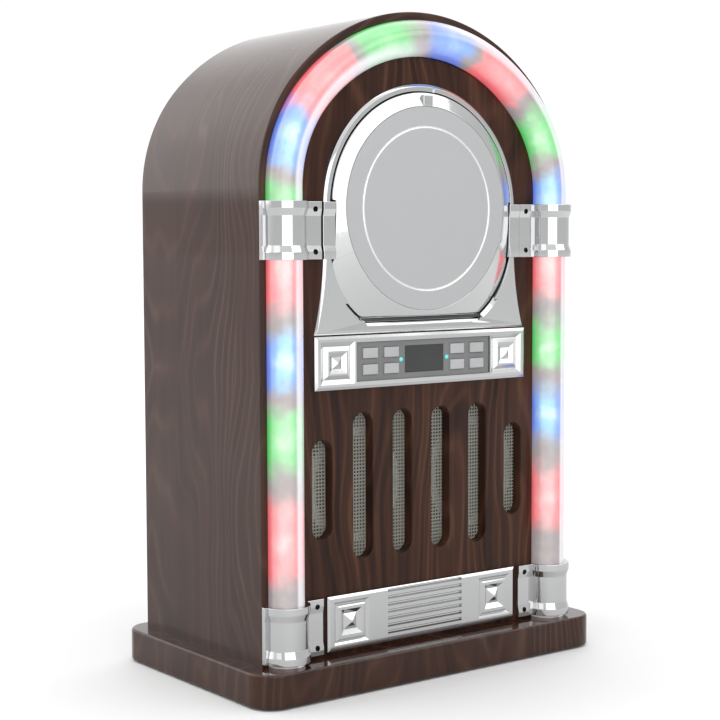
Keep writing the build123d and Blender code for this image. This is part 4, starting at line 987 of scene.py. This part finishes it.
# ---------------------------------------------------------------- CD bezel, door and disc
def make_bezel():
    """The bezel: bevelled rim, door opening, finger notch, trough, strap lugs and hinge ears."""
    front, back = BEZEL_FACE, BAFFLE_LOW.y
    chamfer = 1.8
    edge = ((chamfer + 0.15, 0.0), (chamfer - 0.1, 0.07), (0.12, 0.62 * chamfer), (0.0, 0.8 * chamfer))
    outer = [upright(bezel_outline(inset), front + drop) for inset, drop in edge]
    outer.append(upright(bezel_outline(0), back))
    opening = edge_stack(door_outline(DOOR_GAP), front, back, 0.35, hole=True)
    trough = []
    for half, z, depth in TROUGH_LEVELS:
        loop = [(-TROUGH_REACH, TROUGH_TOP), (-half, z), (half, z), (TROUGH_REACH, TROUGH_TOP)]
        trough.append(upright(loop, depth))
    low_part = [i for i, (x, z) in enumerate(door_outline(DOOR_GAP)) if z < DOOR_BOTTOM_Z + 13]
    narrow, wide = ([door_outline(grow)[i] for i in low_part] for grow in (0.7, 3.9))
    flare = [upright(wide, front - 1), upright(narrow, back + 0.4)]
    finger_notch = rectangle(0, NOTCH_Z, 18.6, 4.9, 0.5)
    notch = [upright(finger_notch, front - 1), upright(finger_notch, NOTCH_BACK)]
    bm = solid([outer, opening])
    for tool in (trough, flare, notch):
        bm = cut(bm, solid([tool]))
    floor_block = bmesh.new()
    add_block(floor_block, (-57, back, 239.8), (57, -60, DOOR_BOTTOM_Z - 0.5))
    floor_block = cut(floor_block, solid([trough]))
    joined = bpy.data.meshes.new("trough_floor")
    floor_block.to_mesh(joined)
    floor_block.free()
    bm.from_mesh(joined)
    bpy.data.meshes.remove(joined)
    for side in (-1, 1):
        rings = []
        for z, share, inset in ridged_levels(LUG_HEIGHT):
            inner_x, outer_x = side * (LUG_INNER_X + inset), side * (LUG_OUTER_X - inset)
            face = LUG_Y - share + inset
            corners = [(inner_x, back), (inner_x, face), (outer_x, face), (outer_x, back)]
            rings.append(level(rounded(corners, 0.4, 3), LUG_Z + z))
        add_solid(bm, [rings])
        ear = arc((HINGE_Y, HINGE_Z), 1.9, 90, 180, 12)
        ear += [(-62.5, HINGE_Z - 2), (-62.5, 246.5), (-60, 246.5), (-60, HINGE_Z + 0.6)]
        add_solid(bm, [[crosswise(ear, side * x) for x in (EAR_INNER_X, EAR_OUTER_X)]])
    piece("cd_bezel_plated", bm, "cabinet", "chrome", "cd_bezel", sharp=40)


def door_rim_outline():
    """The door's outline with its two side recesses, which make room for the bezel's strap lugs."""
    low, high, x_in = LUG_Z - 20, LUG_Z + 20, LUG_INNER_X - 0.5
    loop = []
    for x, z in door_outline():
        if not (low < z < high and abs(x) > x_in):
            loop.append((x, z))
    made = []
    for here, there in zip(loop, loop[1:] + loop[:1]):
        made.append(here)
        if here[0] > x_in and there[0] > x_in and here[1] <= low and there[1] >= high:
            made += [(here[0], low), (x_in, low), (x_in, high), (there[0], high)]
        if here[0] < -x_in and there[0] < -x_in and here[1] >= high and there[1] <= low:
            made += [(here[0], high), (-x_in, high), (-x_in, low), (there[0], low)]
    return divided(made, 2.5)


def cone_ring(loop, share):
    """The door rim's loop drawn in towards the disc, on the cone that falls away round it."""
    ring = []
    for x, z in loop:
        reach = hypot(x, z - DOOR_Z)
        radius = DISC_RADIUS + (reach - DISC_RADIUS) * share
        depth = DISC_LOW.y + RIM_SLOPE * (radius - DISC_RADIUS)
        ring.append((x * radius / reach, depth, DOOR_Z + (z - DOOR_Z) * radius / reach))
    return ring


def make_door():
    """The door: a conical rim round a sunk seat for the disc, with its pull tab, hook and hinge bores."""
    loop = door_rim_outline()
    seat, hollow = DISC_RADIUS - 0.45, 66.0

    def at(radius, depth):
        return upright(onto_circle(loop, 0, DOOR_Z, radius), depth)

    face = DISC_LOW.y
    rings = [at(seat, DISC_RECESS), at(seat, face + 0.12), at(seat + 0.12, face), at(DISC_RADIUS, face)]
    rings += [cone_ring(loop, share) for share in (0.04, 0.5, 0.93)]
    edge = [cone_ring(offset(loop, -inset), 1.0) for inset in (0.45, 0.2, 0.0)]
    for ring, drop in zip(edge, (0.05, 0.25, 0.7)):
        rings.append([(x, y + drop, z) for x, y, z in ring])
    rings += [upright(loop, DOOR_BACK), at(hollow, DOOR_BACK), at(hollow, -70.3)]
    notches, bores = bmesh.new(), bmesh.new()
    bore = circle(HINGE_Y, HINGE_Z, 1.1, 24)
    for side in (-1, 1):
        low_x, high_x = sorted((side * (EAR_INNER_X - 0.8), side * (EAR_OUTER_X + 0.8)))
        add_block(notches, (low_x, -68.6, 240), (high_x, -58, HINGE_Z + 3.3))
        low_x, high_x = sorted((side * PIN_INNER_X, side * (EAR_INNER_X + 0.7)))
        add_solid(bores, [[crosswise(bore, low_x), crosswise(bore, high_x)]])
    bm = cut(cut(solid([rings]), notches), bores)
    add_block(bm, (-TAB_HALF_WIDTH, DOOR_LOW.y, 388.5), (TAB_HALF_WIDTH, -68, 395.9), 0.7)
    add_block(bm, (-HOOK_HALF_WIDTH, -67, 389), (HOOK_HALF_WIDTH, -56, 391))
    add_block(bm, (-HOOK_HALF_WIDTH, -58, 390), (HOOK_HALF_WIDTH, -56, 392.3))
    piece("cd_door_plated", bm, "cd_door", "chrome", "cd_door_shell", sharp=40)


def make_disc():
    """The satin disc, with one fine groove round it."""
    face, edge, back = DISC_LOW.y, DISC_HIGH.x, DISC_HIGH.y
    groove, reach, root = GROOVE_RADIUS, GROOVE_REACH, face + 0.6
    profile = [(0, face), (groove - reach, face), (groove - 0.3, root), (groove + 0.3, root)]
    profile += [(groove + reach, face), (edge, face), (edge, back), (0, back)]
    bm = bmesh.new()
    add_turned(bm, 0, DOOR_Z, rounded(profile, 0.25, closed=False), 192)
    piece("cd_door_disc_satin", bm, "cd_door", "satin_silver", "cd_door_disc")


# ---------------------------------------------------------------- plates with relief
def plate_blank(low, high, back, border, rise):
    """A block whose front stands up inside a sloping border, ready to be sliced."""
    bm = bmesh.new()
    bmesh.ops.create_cube(bm, size=1)
    for vert in bm.verts:
        vert.co = Vector((low.x if vert.co.x < 0 else high.x, low.y + rise if vert.co.y < 0 else back,
                          low.z if vert.co.z < 0 else high.z))
    bm.normal_update()
    press(bm, min(bm.faces, key=lambda face: face.calc_center_median().y), [(border, rise)])
    bm.normal_update()
    return bm


def slice_cell(bm, x, z, front, width, height):
    """Slice a rectangle about (x, z) out of the front face round it, and give the new cell."""
    for axis, place in ((0, x - width / 2), (0, x + width / 2), (2, z - height / 2), (2, z + height / 2)):
        cell = front_cell(bm, x, z, front)
        point, normal = Vector(), Vector()
        point[axis], normal[axis] = place, 1
        geometry = [cell] + list(cell.edges) + list(cell.verts)
        bmesh.ops.bisect_plane(bm, geom=geometry, plane_co=point, plane_no=normal)
        bm.normal_update()
    return front_cell(bm, x, z, front)


def front_cell(bm, x, z, front):
    """The front cell that holds a point."""
    for face in bm.faces:
        if face.normal.y < -0.9 and abs(face.calc_center_median().y - front) < 0.01:
            xs, zs = [v.co.x for v in face.verts], [v.co.z for v in face.verts]
            if min(xs) < x < max(xs) and min(zs) < z < max(zs):
                return face
    raise ValueError("no front cell there")


def press(bm, face, steps):
    """Sink or raise a cell in steps of (width, rise), each sloping in from the one before."""
    for width, rise in steps:
        bmesh.ops.inset_individual(bm, faces=[face], thickness=width, depth=rise, use_even_offset=True)


def soften(bm, width):
    """Round off every edge that turns by more than 25 degrees."""
    bm.normal_update()
    sharp = [e for e in bm.edges if e.is_manifold and e.calc_face_angle(0) > radians(25)]
    bmesh.ops.bevel(bm, geom=sharp, offset=width, segments=3, profile=0.5, affect="EDGES",
                    clamp_overlap=True)


FASCIA_SQUARE_X, FASCIA_SQUARE_SIZE = 74.2, 28.0
PLATE_SQUARE_X, PLATE_SQUARE_SIZE = 63.6, 29.0
# Each pyramid square as steps of (width, rise) from its edge to its middle.
FASCIA_SQUARE = [(2.9, -1.9), (0.3, 0.0), (2.7, 1.9), (1.1, 0.0), (3.1, -1.9), (3.6, 2.1)]
PLATE_SQUARE = [(1.8, -1.6), (0.5, 0.0), (1.6, 1.6), (1.9, 0.0), (3.2, -2.4), (0.2, 0.0), (4.6, 2.6)]
RIB_COUNT, RIB_PITCH, RIB_WIDTH = 8, 4.8, 66.0


def make_fascia():
    """The control fascia: bevelled border, two pyramid squares and the pierced well for the inlay."""
    front, back = FASCIA_LOW.y, BAFFLE_LOW.y
    bm = plate_blank(FASCIA_LOW, FASCIA_HIGH, back, 1.9, 1.1)
    size = FASCIA_SQUARE_SIZE
    for x in (-FASCIA_SQUARE_X, FASCIA_SQUARE_X):
        press(bm, slice_cell(bm, x, FASCIA_Z, front, size, size), FASCIA_SQUARE)
    width, height = 2 * INLAY_HIGH.x + 0.4, INLAY_HIGH.z - INLAY_LOW.z + 0.4
    well = slice_cell(bm, 0, FASCIA_Z, front, width, height)
    press(bm, well, [(0.01, front - INLAY_HIGH.y - 0.1)])
    soften(bm, 0.16)
    openings = [rectangle(0, FASCIA_Z, *DISPLAY_HOLE)]
    for node in BUTTON_NODES:
        low, high = box(node)
        openings.append(rectangle(*middle(node), high.x - low.x + 0.6, high.z - low.z + 0.6))
    tool = bmesh.new()
    for opening in openings:
        add_solid(tool, [[upright(opening, front - 1), upright(opening, back + 1)]])
    piece("control_fascia_plated", cut(bm, tool), "cabinet", "chrome", "control_fascia", sharp=20)


def make_lower_plate():
    """The lower trim plate: two pyramid squares and a band of ribs."""
    front, back = PLATE_LOW.y, BAFFLE_LOW.y
    bm = plate_blank(PLATE_LOW, PLATE_HIGH, back, 1.7, 1.0)
    size = PLATE_SQUARE_SIZE
    for x in (-PLATE_SQUARE_X, PLATE_SQUARE_X):
        press(bm, slice_cell(bm, x, PLATE_Z, front, size, size), PLATE_SQUARE)
    soften(bm, 0.16)
    tool = bmesh.new()
    for i in range(RIB_COUNT):
        z = PLATE_Z + RIB_PITCH * (i - (RIB_COUNT - 1) / 2)
        profile = [(front - 0.5, z - 1.2), (front - 0.5, z + 1.2), (front, z + 1.2)]
        profile += [(front + 1.4, z + 0.35), (front + 1.4, z - 0.35), (front, z - 1.2)]
        add_solid(tool, [[crosswise(profile, -RIB_WIDTH / 2), crosswise(profile, RIB_WIDTH / 2)]])
    piece("lower_plate_plated", cut(bm, tool), "cabinet", "chrome", "lower_plate", sharp=20)


# ---------------------------------------------------------------- inlay, display, lamps and buttons
BUTTON_NODES = [f"button_{i}" for i in range(1, 9)]
CAP_WIDTH, CAP_HEIGHT = 12.6, 7.0
# How far the cap stands in at each depth behind its crown.
CAP_CROWN = ((2.0, 0.0), (1.0, 0.05), (0.5, 0.13), (0.22, 0.28), (0.06, 0.55), (0.0, 0.9), (0.0, 2.9))
FLANGE_FRONT, FLANGE_BACK = -68.5, -67.7


def make_inlay():
    """The grey inlay, pierced for the buttons, the display and the lamps."""
    z = (INLAY_LOW.z + INLAY_HIGH.z) / 2
    front, back = INLAY_LOW.y, INLAY_HIGH.y
    edge = rectangle(0, z, 2 * INLAY_HIGH.x, INLAY_HIGH.z - INLAY_LOW.z, 0.6)
    loops = [rectangle(*middle(node), CAP_WIDTH + 0.4, CAP_HEIGHT + 0.4, 0.7) for node in BUTTON_NODES]
    loops.append(rectangle(0, z, 34.2, 18.4, 0.4))
    low, high = box("indicator_lamps")
    lamp_x = high.x - (high.z - low.z) / 2
    loops += [circle(side * lamp_x, z, 1.6, 32) for side in (-1, 1)]
    holes = [edge_stack(loop, front, back, 0.2, hole=True) for loop in loops]
    bm = solid([edge_stack(edge, front, back, 0.2)] + holes)
    piece("fascia_inlay_grained", bm, "cabinet", "inlay_grey", "fascia_inlay")


def make_display():
    """The window over the display, and the two cyan lamps beside it."""
    low, high = box("display_window")
    z = (low.z + high.z) / 2
    window = edge_stack(rectangle(0, z, high.x - low.x, high.z - low.z, 0.3), low.y, high.y, 0.25)
    piece("display_window_smoked", solid([window]), "cabinet", "smoked_window", "display_window")
    low, high = box("indicator_lamps")
    radius = (high.z - low.z) / 2
    bm = bmesh.new()
    for side in (-1, 1):
        dome = [(radius * sin(a), low.y + 0.7 * (1 - cos(a))) for a in (pi / 2 * i / 6 for i in range(7))]
        add_turned(bm, side * (high.x - radius), z, dome + [(radius, high.y), (0, high.y)], 32)
    piece("indicator_lamps_lit", bm, "cabinet", "lamp", "indicator_lamps", sharp=60)


def make_buttons():
    """Eight slightly crowned caps, each with its flange and the stem that works its switch."""
    for node in BUTTON_NODES:
        low, high = box(node)
        x, z = middle(node)
        rings = []
        for inset, drop in CAP_CROWN:
            cap = rectangle(x, z, CAP_WIDTH - 2 * inset, CAP_HEIGHT - 2 * inset, 0.6 - 0.2 * inset)
            rings.append(upright(cap, low.y + drop))
        flange = rectangle(x, z, high.x - low.x, high.z - low.z, 0.6)
        rings += [upright(flange, FLANGE_FRONT), upright(flange, FLANGE_BACK)]
        stem = onto_circle(flange, x, z, 2.0)
        rings += [upright(stem, FLANGE_BACK), upright(stem, high.y)]
        piece(node + "_cap", solid([rings]), node, "button_grey", node)


def make_mesh():
    """The wire mesh behind the slots: square openings between rounded, crossing wires."""
    pitch, opening = 2.4, 1.3
    columns = int((MESH_HIGH.x - MESH_LOW.x) / pitch)
    rows = int((MESH_HIGH.z - MESH_LOW.z) / pitch)
    start_x, start_z = -columns * pitch / 2, SLOT_Z - rows * pitch / 2
    front, back = MESH_LOW.y, MESH_HIGH.y
    bm = bmesh.new()
    grid = [[(bm.verts.new((start_x + i * pitch, front, start_z + j * pitch)),
              bm.verts.new((start_x + i * pitch, back, start_z + j * pitch)))
             for j in range(rows + 1)] for i in range(columns + 1)]
    corners = ((0, 0), (1, 0), (1, 1), (0, 1))
    for i in range(columns):
        for j in range(rows):
            x, z = start_x + (i + 0.5) * pitch, start_z + (j + 0.5) * pitch
            near = [grid[i + a][j + b][0] for a, b in corners]
            far = [grid[i + a][j + b][1] for a, b in corners]
            ring = [(x + (a - 0.5) * opening, z + (b - 0.5) * opening) for a, b in corners]
            lip = [bm.verts.new((px, front + 0.3, pz)) for px, pz in ring]
            base = [bm.verts.new((px, back - 0.1, pz)) for px, pz in ring]
            for k in range(4):
                m = (k + 1) % 4
                bm.faces.new((near[k], near[m], lip[m], lip[k]))
                bm.faces.new((lip[k], lip[m], base[m], base[k]))
                bm.faces.new((base[k], base[m], far[m], far[k]))
    border = [grid[i][0] for i in range(columns + 1)] + [grid[columns][j] for j in range(1, rows + 1)]
    border += [grid[i][rows] for i in range(columns - 1, -1, -1)]
    border += [grid[0][j] for j in range(rows - 1, 0, -1)]
    for here, there in zip(border, border[1:] + border[:1]):
        bm.faces.new((here[0], there[0], there[1], here[1]))
    bmesh.ops.recalc_face_normals(bm, faces=bm.faces)
    piece("grille_mesh_wires", bm, "cabinet", "mesh", "grille_mesh", sharp=80)


# ---------------------------------------------------------------- rear
VENT_COUNT, VENT_PITCH, VENT_Z = 7, 11, 230
VENT_WIDTH, VENT_LENGTH = 4.0, 90


def make_rear_panel():
    """The rear panel, with its vents and the cut-outs behind the sockets."""
    front, back = REAR_HIGH.y, REAR_LOW.y
    inset, base = WALL + 0.3, REAR_LOW.z
    outer = [upright(cabinet_path(inset + step, base + step), front - drop) for step, drop in quarter(0.6, 4)]
    outer.append(upright(cabinet_path(inset, base), back))
    loops = [rectangle(INLET_X, SOCKET_Z, 23, 13), rectangle(0, SOCKET_Z, 22.4, 15)]
    loops.append(circle(JACK_X, SOCKET_Z, 5, 32))
    for i in range(VENT_COUNT):
        z = VENT_Z + VENT_PITCH * (i - (VENT_COUNT - 1) / 2)
        loops.append([(along, z + up) for up, along in slot_outline(0, 0, VENT_WIDTH, VENT_LENGTH)])
    holes = [edge_stack(loop, front, back, 0.4, hole=True) for loop in loops]
    piece("rear_panel_board", solid([outer] + holes), "cabinet", "hardboard", "rear_panel")


def make_rear_screws():
    """Eight pan-head screws with cross recesses round the rear panel."""
    bm = bmesh.new()
    low, high = box("rear_panel_screws")
    inside = HALF_WIDTH - WALL - 8.0
    places = [(side * inside, z) for side in (-1, 1) for z in (60.0, 180.0, 300.0)]
    places += [(-60.0, 418.0), (60.0, 418.0)]
    head, shank = 3.2, 1.5
    angles = [pi / 2 * i / 5 for i in range(4, -1, -1)]
    dome = [(head * cos(a), high.y - 0.05 - 1.2 * (1 - sin(a))) for a in angles]
    profile = dome + [(head, REAR_HIGH.y), (shank, REAR_HIGH.y), (shank, low.y)]
    for x, z in places:
        rings = [upright(circle(x, z, radius, 36), depth) for radius, depth in profile]
        recess = cross(x, z, 1.3, 0.42)
        add_solid(bm, [rings], [[upright(recess, dome[0][1]), upright(recess, dome[0][1] - 1.0)]])
    piece("rear_panel_screws_black", bm, "cabinet", "black_steel", "rear_panel_screws")


def make_rear_sockets():
    """The connector plate, the mains inlet with its two pins, the jack and the rocker's frame."""
    z = SOCKET_Z
    front, back = CONNECTOR_HIGH.y, CONNECTOR_LOW.y
    outer = edge_stack(rectangle(0, z, 116, 34, 4), front, back, 0.5)
    loops = [rectangle(INLET_X, z, 22.4, 12.4, 0.8), rectangle(0, z, 21.4, 14, 0.5)]
    loops.append(circle(JACK_X, z, 4.2, 40))
    holes = [edge_stack(loop, front, back, 0.3, hole=True) for loop in loops]
    piece("connector_plate_moulded", solid([outer] + holes), "cabinet", "black_plastic", "connector_plate")
    body = edge_stack(rectangle(INLET_X, z, 22, 12, 1.2), 78.2, 60, 0.4)
    mouth = edge_stack(rectangle(INLET_X, z, 17, 8, 3.9), 78.2, 66.2, 0.4, hole=True)
    bm = solid([body], [mouth])
    for side in (-1, 1):
        pin = [(0, 76), (0.7, 75.9), (1.2, 75.2), (1.2, 66), (0, 66)]
        add_turned(bm, INLET_X + side * 5.2, z, pin, 24)
    barrel = [(0, 66), (1.8, 66), (1.8, 78.1), (2.1, 78.4), (3.6, 78.4), (4.0, 78.0), (4.0, 64), (0, 64)]
    add_turned(bm, JACK_X, z, barrel, 40)
    add_block(bm, (-10.4, 58, z - 6.8), (10.4, 69, z + 6.8), 0.5)
    piece("rear_sockets_moulded", bm, "cabinet", "black_plastic", "rear_sockets")


def make_rocker():
    """The power rocker, bowed across and tipped to its off side."""
    low, high = box("power_rocker")
    half, pivot_y, tilt = 9.6, 74.5, radians(-9.0)
    section = [(-half, -3.0), (half, -3.0)]
    for i in range(17):
        share = 1 - i / 8
        section.append((half * share, 2.2 + 1.2 * abs(share) ** 1.5))
    turned = []
    for x, y in section:
        turned.append((x * cos(tilt) - y * sin(tilt), pivot_y + x * sin(tilt) + y * cos(tilt)))
    rings = edge_stack(turned, low.z, high.z, 0.4, 0.4, place=level)
    piece("power_rocker_moulded", solid([rings]), "power_rocker", "black_plastic", "power_rocker")


# ---------------------------------------------------------------- what shows when the door is open
WELL_FLOOR, WELL_BACK = -46.0, -44.0
# How far the well's outline stands out from the door's at each depth, from its back over its flange and
# round its front edge to its floor.
WELL_WALL = (
    (3.0, WELL_BACK), (3.0, -57.4), (9.0, -57.4), (9.0, -59.4), (3.0, -59.4), (3.0, -66.9), (2.6, -67.3),
    (1.4, -67.3), (1.0, -66.9), (1.0, WELL_FLOOR - 1.5), (0.5, WELL_FLOOR - 0.4), (-0.6, WELL_FLOOR),
)


def make_well():
    """The disc well: a dished tray with a soft inner edge, its flange and the pickup's window."""
    back = box("cd_well")[1].y
    wall = [upright(door_outline(grow), depth) for grow, depth in WELL_WALL]
    holes = []
    for loop in (circle(0, DOOR_Z, 5.0, 48), rectangle(41.5, DOOR_Z, 49, 16, 3)):
        hole = [upright(loop, WELL_BACK), upright(loop, WELL_FLOOR + 0.4)]
        holes.append(hole + [upright(offset(loop, 0.4), WELL_FLOOR)])
    bm = solid([wall] + holes)
    boss = [(1.55, WELL_BACK - 0.5), (4.5, WELL_BACK - 0.5), (4.5, back - 0.3), (4.2, back), (1.55, back)]
    for x in (-34.0, 70.0):
        for up in (-32.0, 32.0):
            add_turned(bm, x, DOOR_Z + up, boss, 32, closed=True)
    piece("cd_well_tray", bm, "cabinet", "dark_plastic", "cd_well")


def make_hub():
    """The turntable: a flanged seat, a tapered boss and three clip balls."""
    low, high = box("turntable_hub")
    seat = -52.0
    boss = [(1.02, low.y), (5.6, low.y), (6.4, low.y + 0.3), (7.1, low.y + 1.0), (7.4, low.y + 1.6)]
    flange = [(7.4, seat), (9.5, seat), (9.5, seat + 0.15), (14.2, seat + 0.15), (14.2, seat), (14.7, seat)]
    under = [(15.0, seat + 0.3), (15.0, seat + 2.2), (14.7, seat + 2.5), (3.5, seat + 2.5)]
    bore = [(3.5, high.y), (1.02, high.y)]
    bm = bmesh.new()
    add_turned(bm, 0, DOOR_Z, boss + flange + under + bore, 96, closed=True)
    for turn in (0, 120, 240):
        ball = bmesh.ops.create_icosphere(bm, subdivisions=3, radius=1.3)["verts"]
        centre = Vector((6.6 * cos(radians(turn)), seat - 1.0, DOOR_Z + 6.6 * sin(radians(turn))))
        bmesh.ops.translate(bm, vec=centre, verts=ball)
    piece("turntable_hub_moulded", bm, "turntable", "black_plastic", "turntable_hub", sharp=50)


make_plinth()
make_cabinet_shell()
make_baffle()
make_tubes()
for clamp_node in ("clamp_upper_left", "clamp_upper_right", "clamp_lower_left", "clamp_lower_right"):
    make_clamp(clamp_node)
make_clamp_screws()
make_bezel()
make_door()
make_disc()
make_fascia()
make_lower_plate()
make_inlay()
make_display()
make_buttons()
make_mesh()
make_rear_panel()
make_rear_screws()
make_rear_sockets()
make_rocker()
make_well()
make_hub()

# The CAD's own pieces that still show get their slots' materials.
SLOT_OF = {part["node"]: part["material_slot"] for part in frame["record"]["subparts"]}
for node, obj in frame["nodes"].items():
    if not obj.hide_render:
        for slot in obj.material_slots:
            slot.material = material(SLOT_OF[node])


# ---------------------------------------------------------------- stage, lights and camera
def add_stage():
    """A plain pale floor, a little duller where it is only seen mirrored in the chrome and lacquer."""
    mesh = bpy.data.meshes.new("floor")
    half = 30.0
    corners = [(-half, -half, 0), (half, -half, 0), (half, half, 0), (-half, half, 0)]
    mesh.from_pydata(corners, [], [(0, 1, 2, 3)])
    floor = bpy.data.objects.new("floor", mesh)
    bpy.context.scene.collection.objects.link(floor)
    n = Nodes("floor")
    shade = n.maths("MULTIPLY", n.noise(n.place(), 1.5, 2.0), 0.02)
    reach = n.add("VectorMath", {"operation": "LENGTH"}, i0=n.place()).outputs["Value"]
    share = n.maths("MULTIPLY", reach, 0.4)
    near = n.ramp(share, [(0.10, 0.76), (0.60, 0.97)], ease=True)
    dull = n.ramp(share, [(0.10, 0.53), (0.60, 0.66)], ease=True)
    tone = n.mix(n.add("LightPath").outputs["Is Glossy Ray"], near, dull)
    mesh.materials.append(n.finish(Base_Color=n.mix(shade, tone, (0.5, 0.5, 0.5)), Roughness=0.7))


def add_world():
    """A white studio: dim in front and low down, bright overhead and behind on the left.

    The camera itself sees it as plain white.
    """
    world = bpy.data.worlds.new("studio")
    world.use_nodes = True
    tree = world.node_tree
    background = tree.nodes["Background"]

    def add(kind, *links):
        made = tree.nodes.new("ShaderNode" + kind)
        for i, value in enumerate(links):
            if isinstance(value, bpy.types.NodeSocket):
                tree.links.new(value, made.inputs[i])
            else:
                made.inputs[i].default_value = value
        return made

    def band(value, low, high, below, above):
        made = add("MapRange", value, low, high, below, above)
        made.interpolation_type = "SMOOTHSTEP"
        return made.outputs[0]

    direction = add("SeparateXYZ", add("TexCoord").outputs["Generated"])
    above = band(direction.outputs["X"], -0.40, 0.10, 1.85, 1.02)
    backdrop = band(direction.outputs["Z"], 0.022, 0.036, 0.80, above)
    depth = band(direction.outputs["Y"], -0.10, 0.55, 0.70, backdrop)
    overhead = band(direction.outputs["Z"], 0.30, 0.80, 0.0, 0.40)
    total = add("Math", depth, overhead).outputs[0]
    seen = add("MapRange", add("LightPath").outputs["Is Camera Ray"], 0.0, 1.0, total, 1.02)
    tree.links.new(seen.outputs[0], background.inputs["Strength"])
    background.inputs["Color"].default_value = (1, 1, 1, 1)
    bpy.context.scene.world = world


def outward(azimuth, elevation):
    """The unit vector from the cabinet towards an azimuth and elevation, in degrees."""
    a, e = radians(azimuth), radians(elevation)
    return Vector((sin(a) * cos(e), -cos(a) * cos(e), sin(e)))


def add_softbox(name, azimuth, elevation, distance, size, power, lift=0.0):
    """An area light that faces the cabinet from an azimuth and elevation in degrees, lifted a little."""
    back = outward(azimuth, elevation)
    light = bpy.data.lights.new(name, "AREA")
    light.shape, light.size, light.size_y, light.energy = "RECTANGLE", size[0], size[1], power
    obj = bpy.data.objects.new(name, light)
    obj.location = Vector((0, 0, 0.23 + lift)) + back * distance
    obj.rotation_euler = back.to_track_quat("Z", "Y").to_euler()
    bpy.context.scene.collection.objects.link(obj)


def add_camera():
    """The camera: a short telephoto to the front left, just above the middle of the cabinet."""
    azimuth, elevation, roll, distance = -37.238, 4.179, -0.18, 1.19957
    target = Vector((0.01419, 0.02125, 0.2106))
    camera = bpy.data.cameras.new("camera")
    camera.lens, camera.sensor_width = 81.66, 36.0
    camera.clip_start = 0.05
    obj = bpy.data.objects.new("camera", camera)
    turn = Matrix.Rotation(radians(azimuth), 4, "Z") @ Matrix.Rotation(radians(90 - elevation), 4, "X")
    place = Matrix.Translation(target + outward(azimuth, elevation) * distance)
    obj.matrix_world = place @ turn @ Matrix.Rotation(radians(roll), 4, "Z")
    bpy.context.scene.collection.objects.link(obj)
    bpy.context.scene.camera = obj


add_stage()
add_world()
add_softbox("key", -18, 0, 2.2, (2.1, 1.5), 13, lift=0.54)
add_softbox("upper", 32, 31, 2.2, (1.8, 0.7), 5.2)
add_softbox("side", -72, 30, 1.9, (0.9, 1.2), 2)
add_softbox("overhead", 80, 76, 1.8, (1.6, 2.4), 13)
add_camera()
bpy.context.scene.view_settings.view_transform = "Standard"
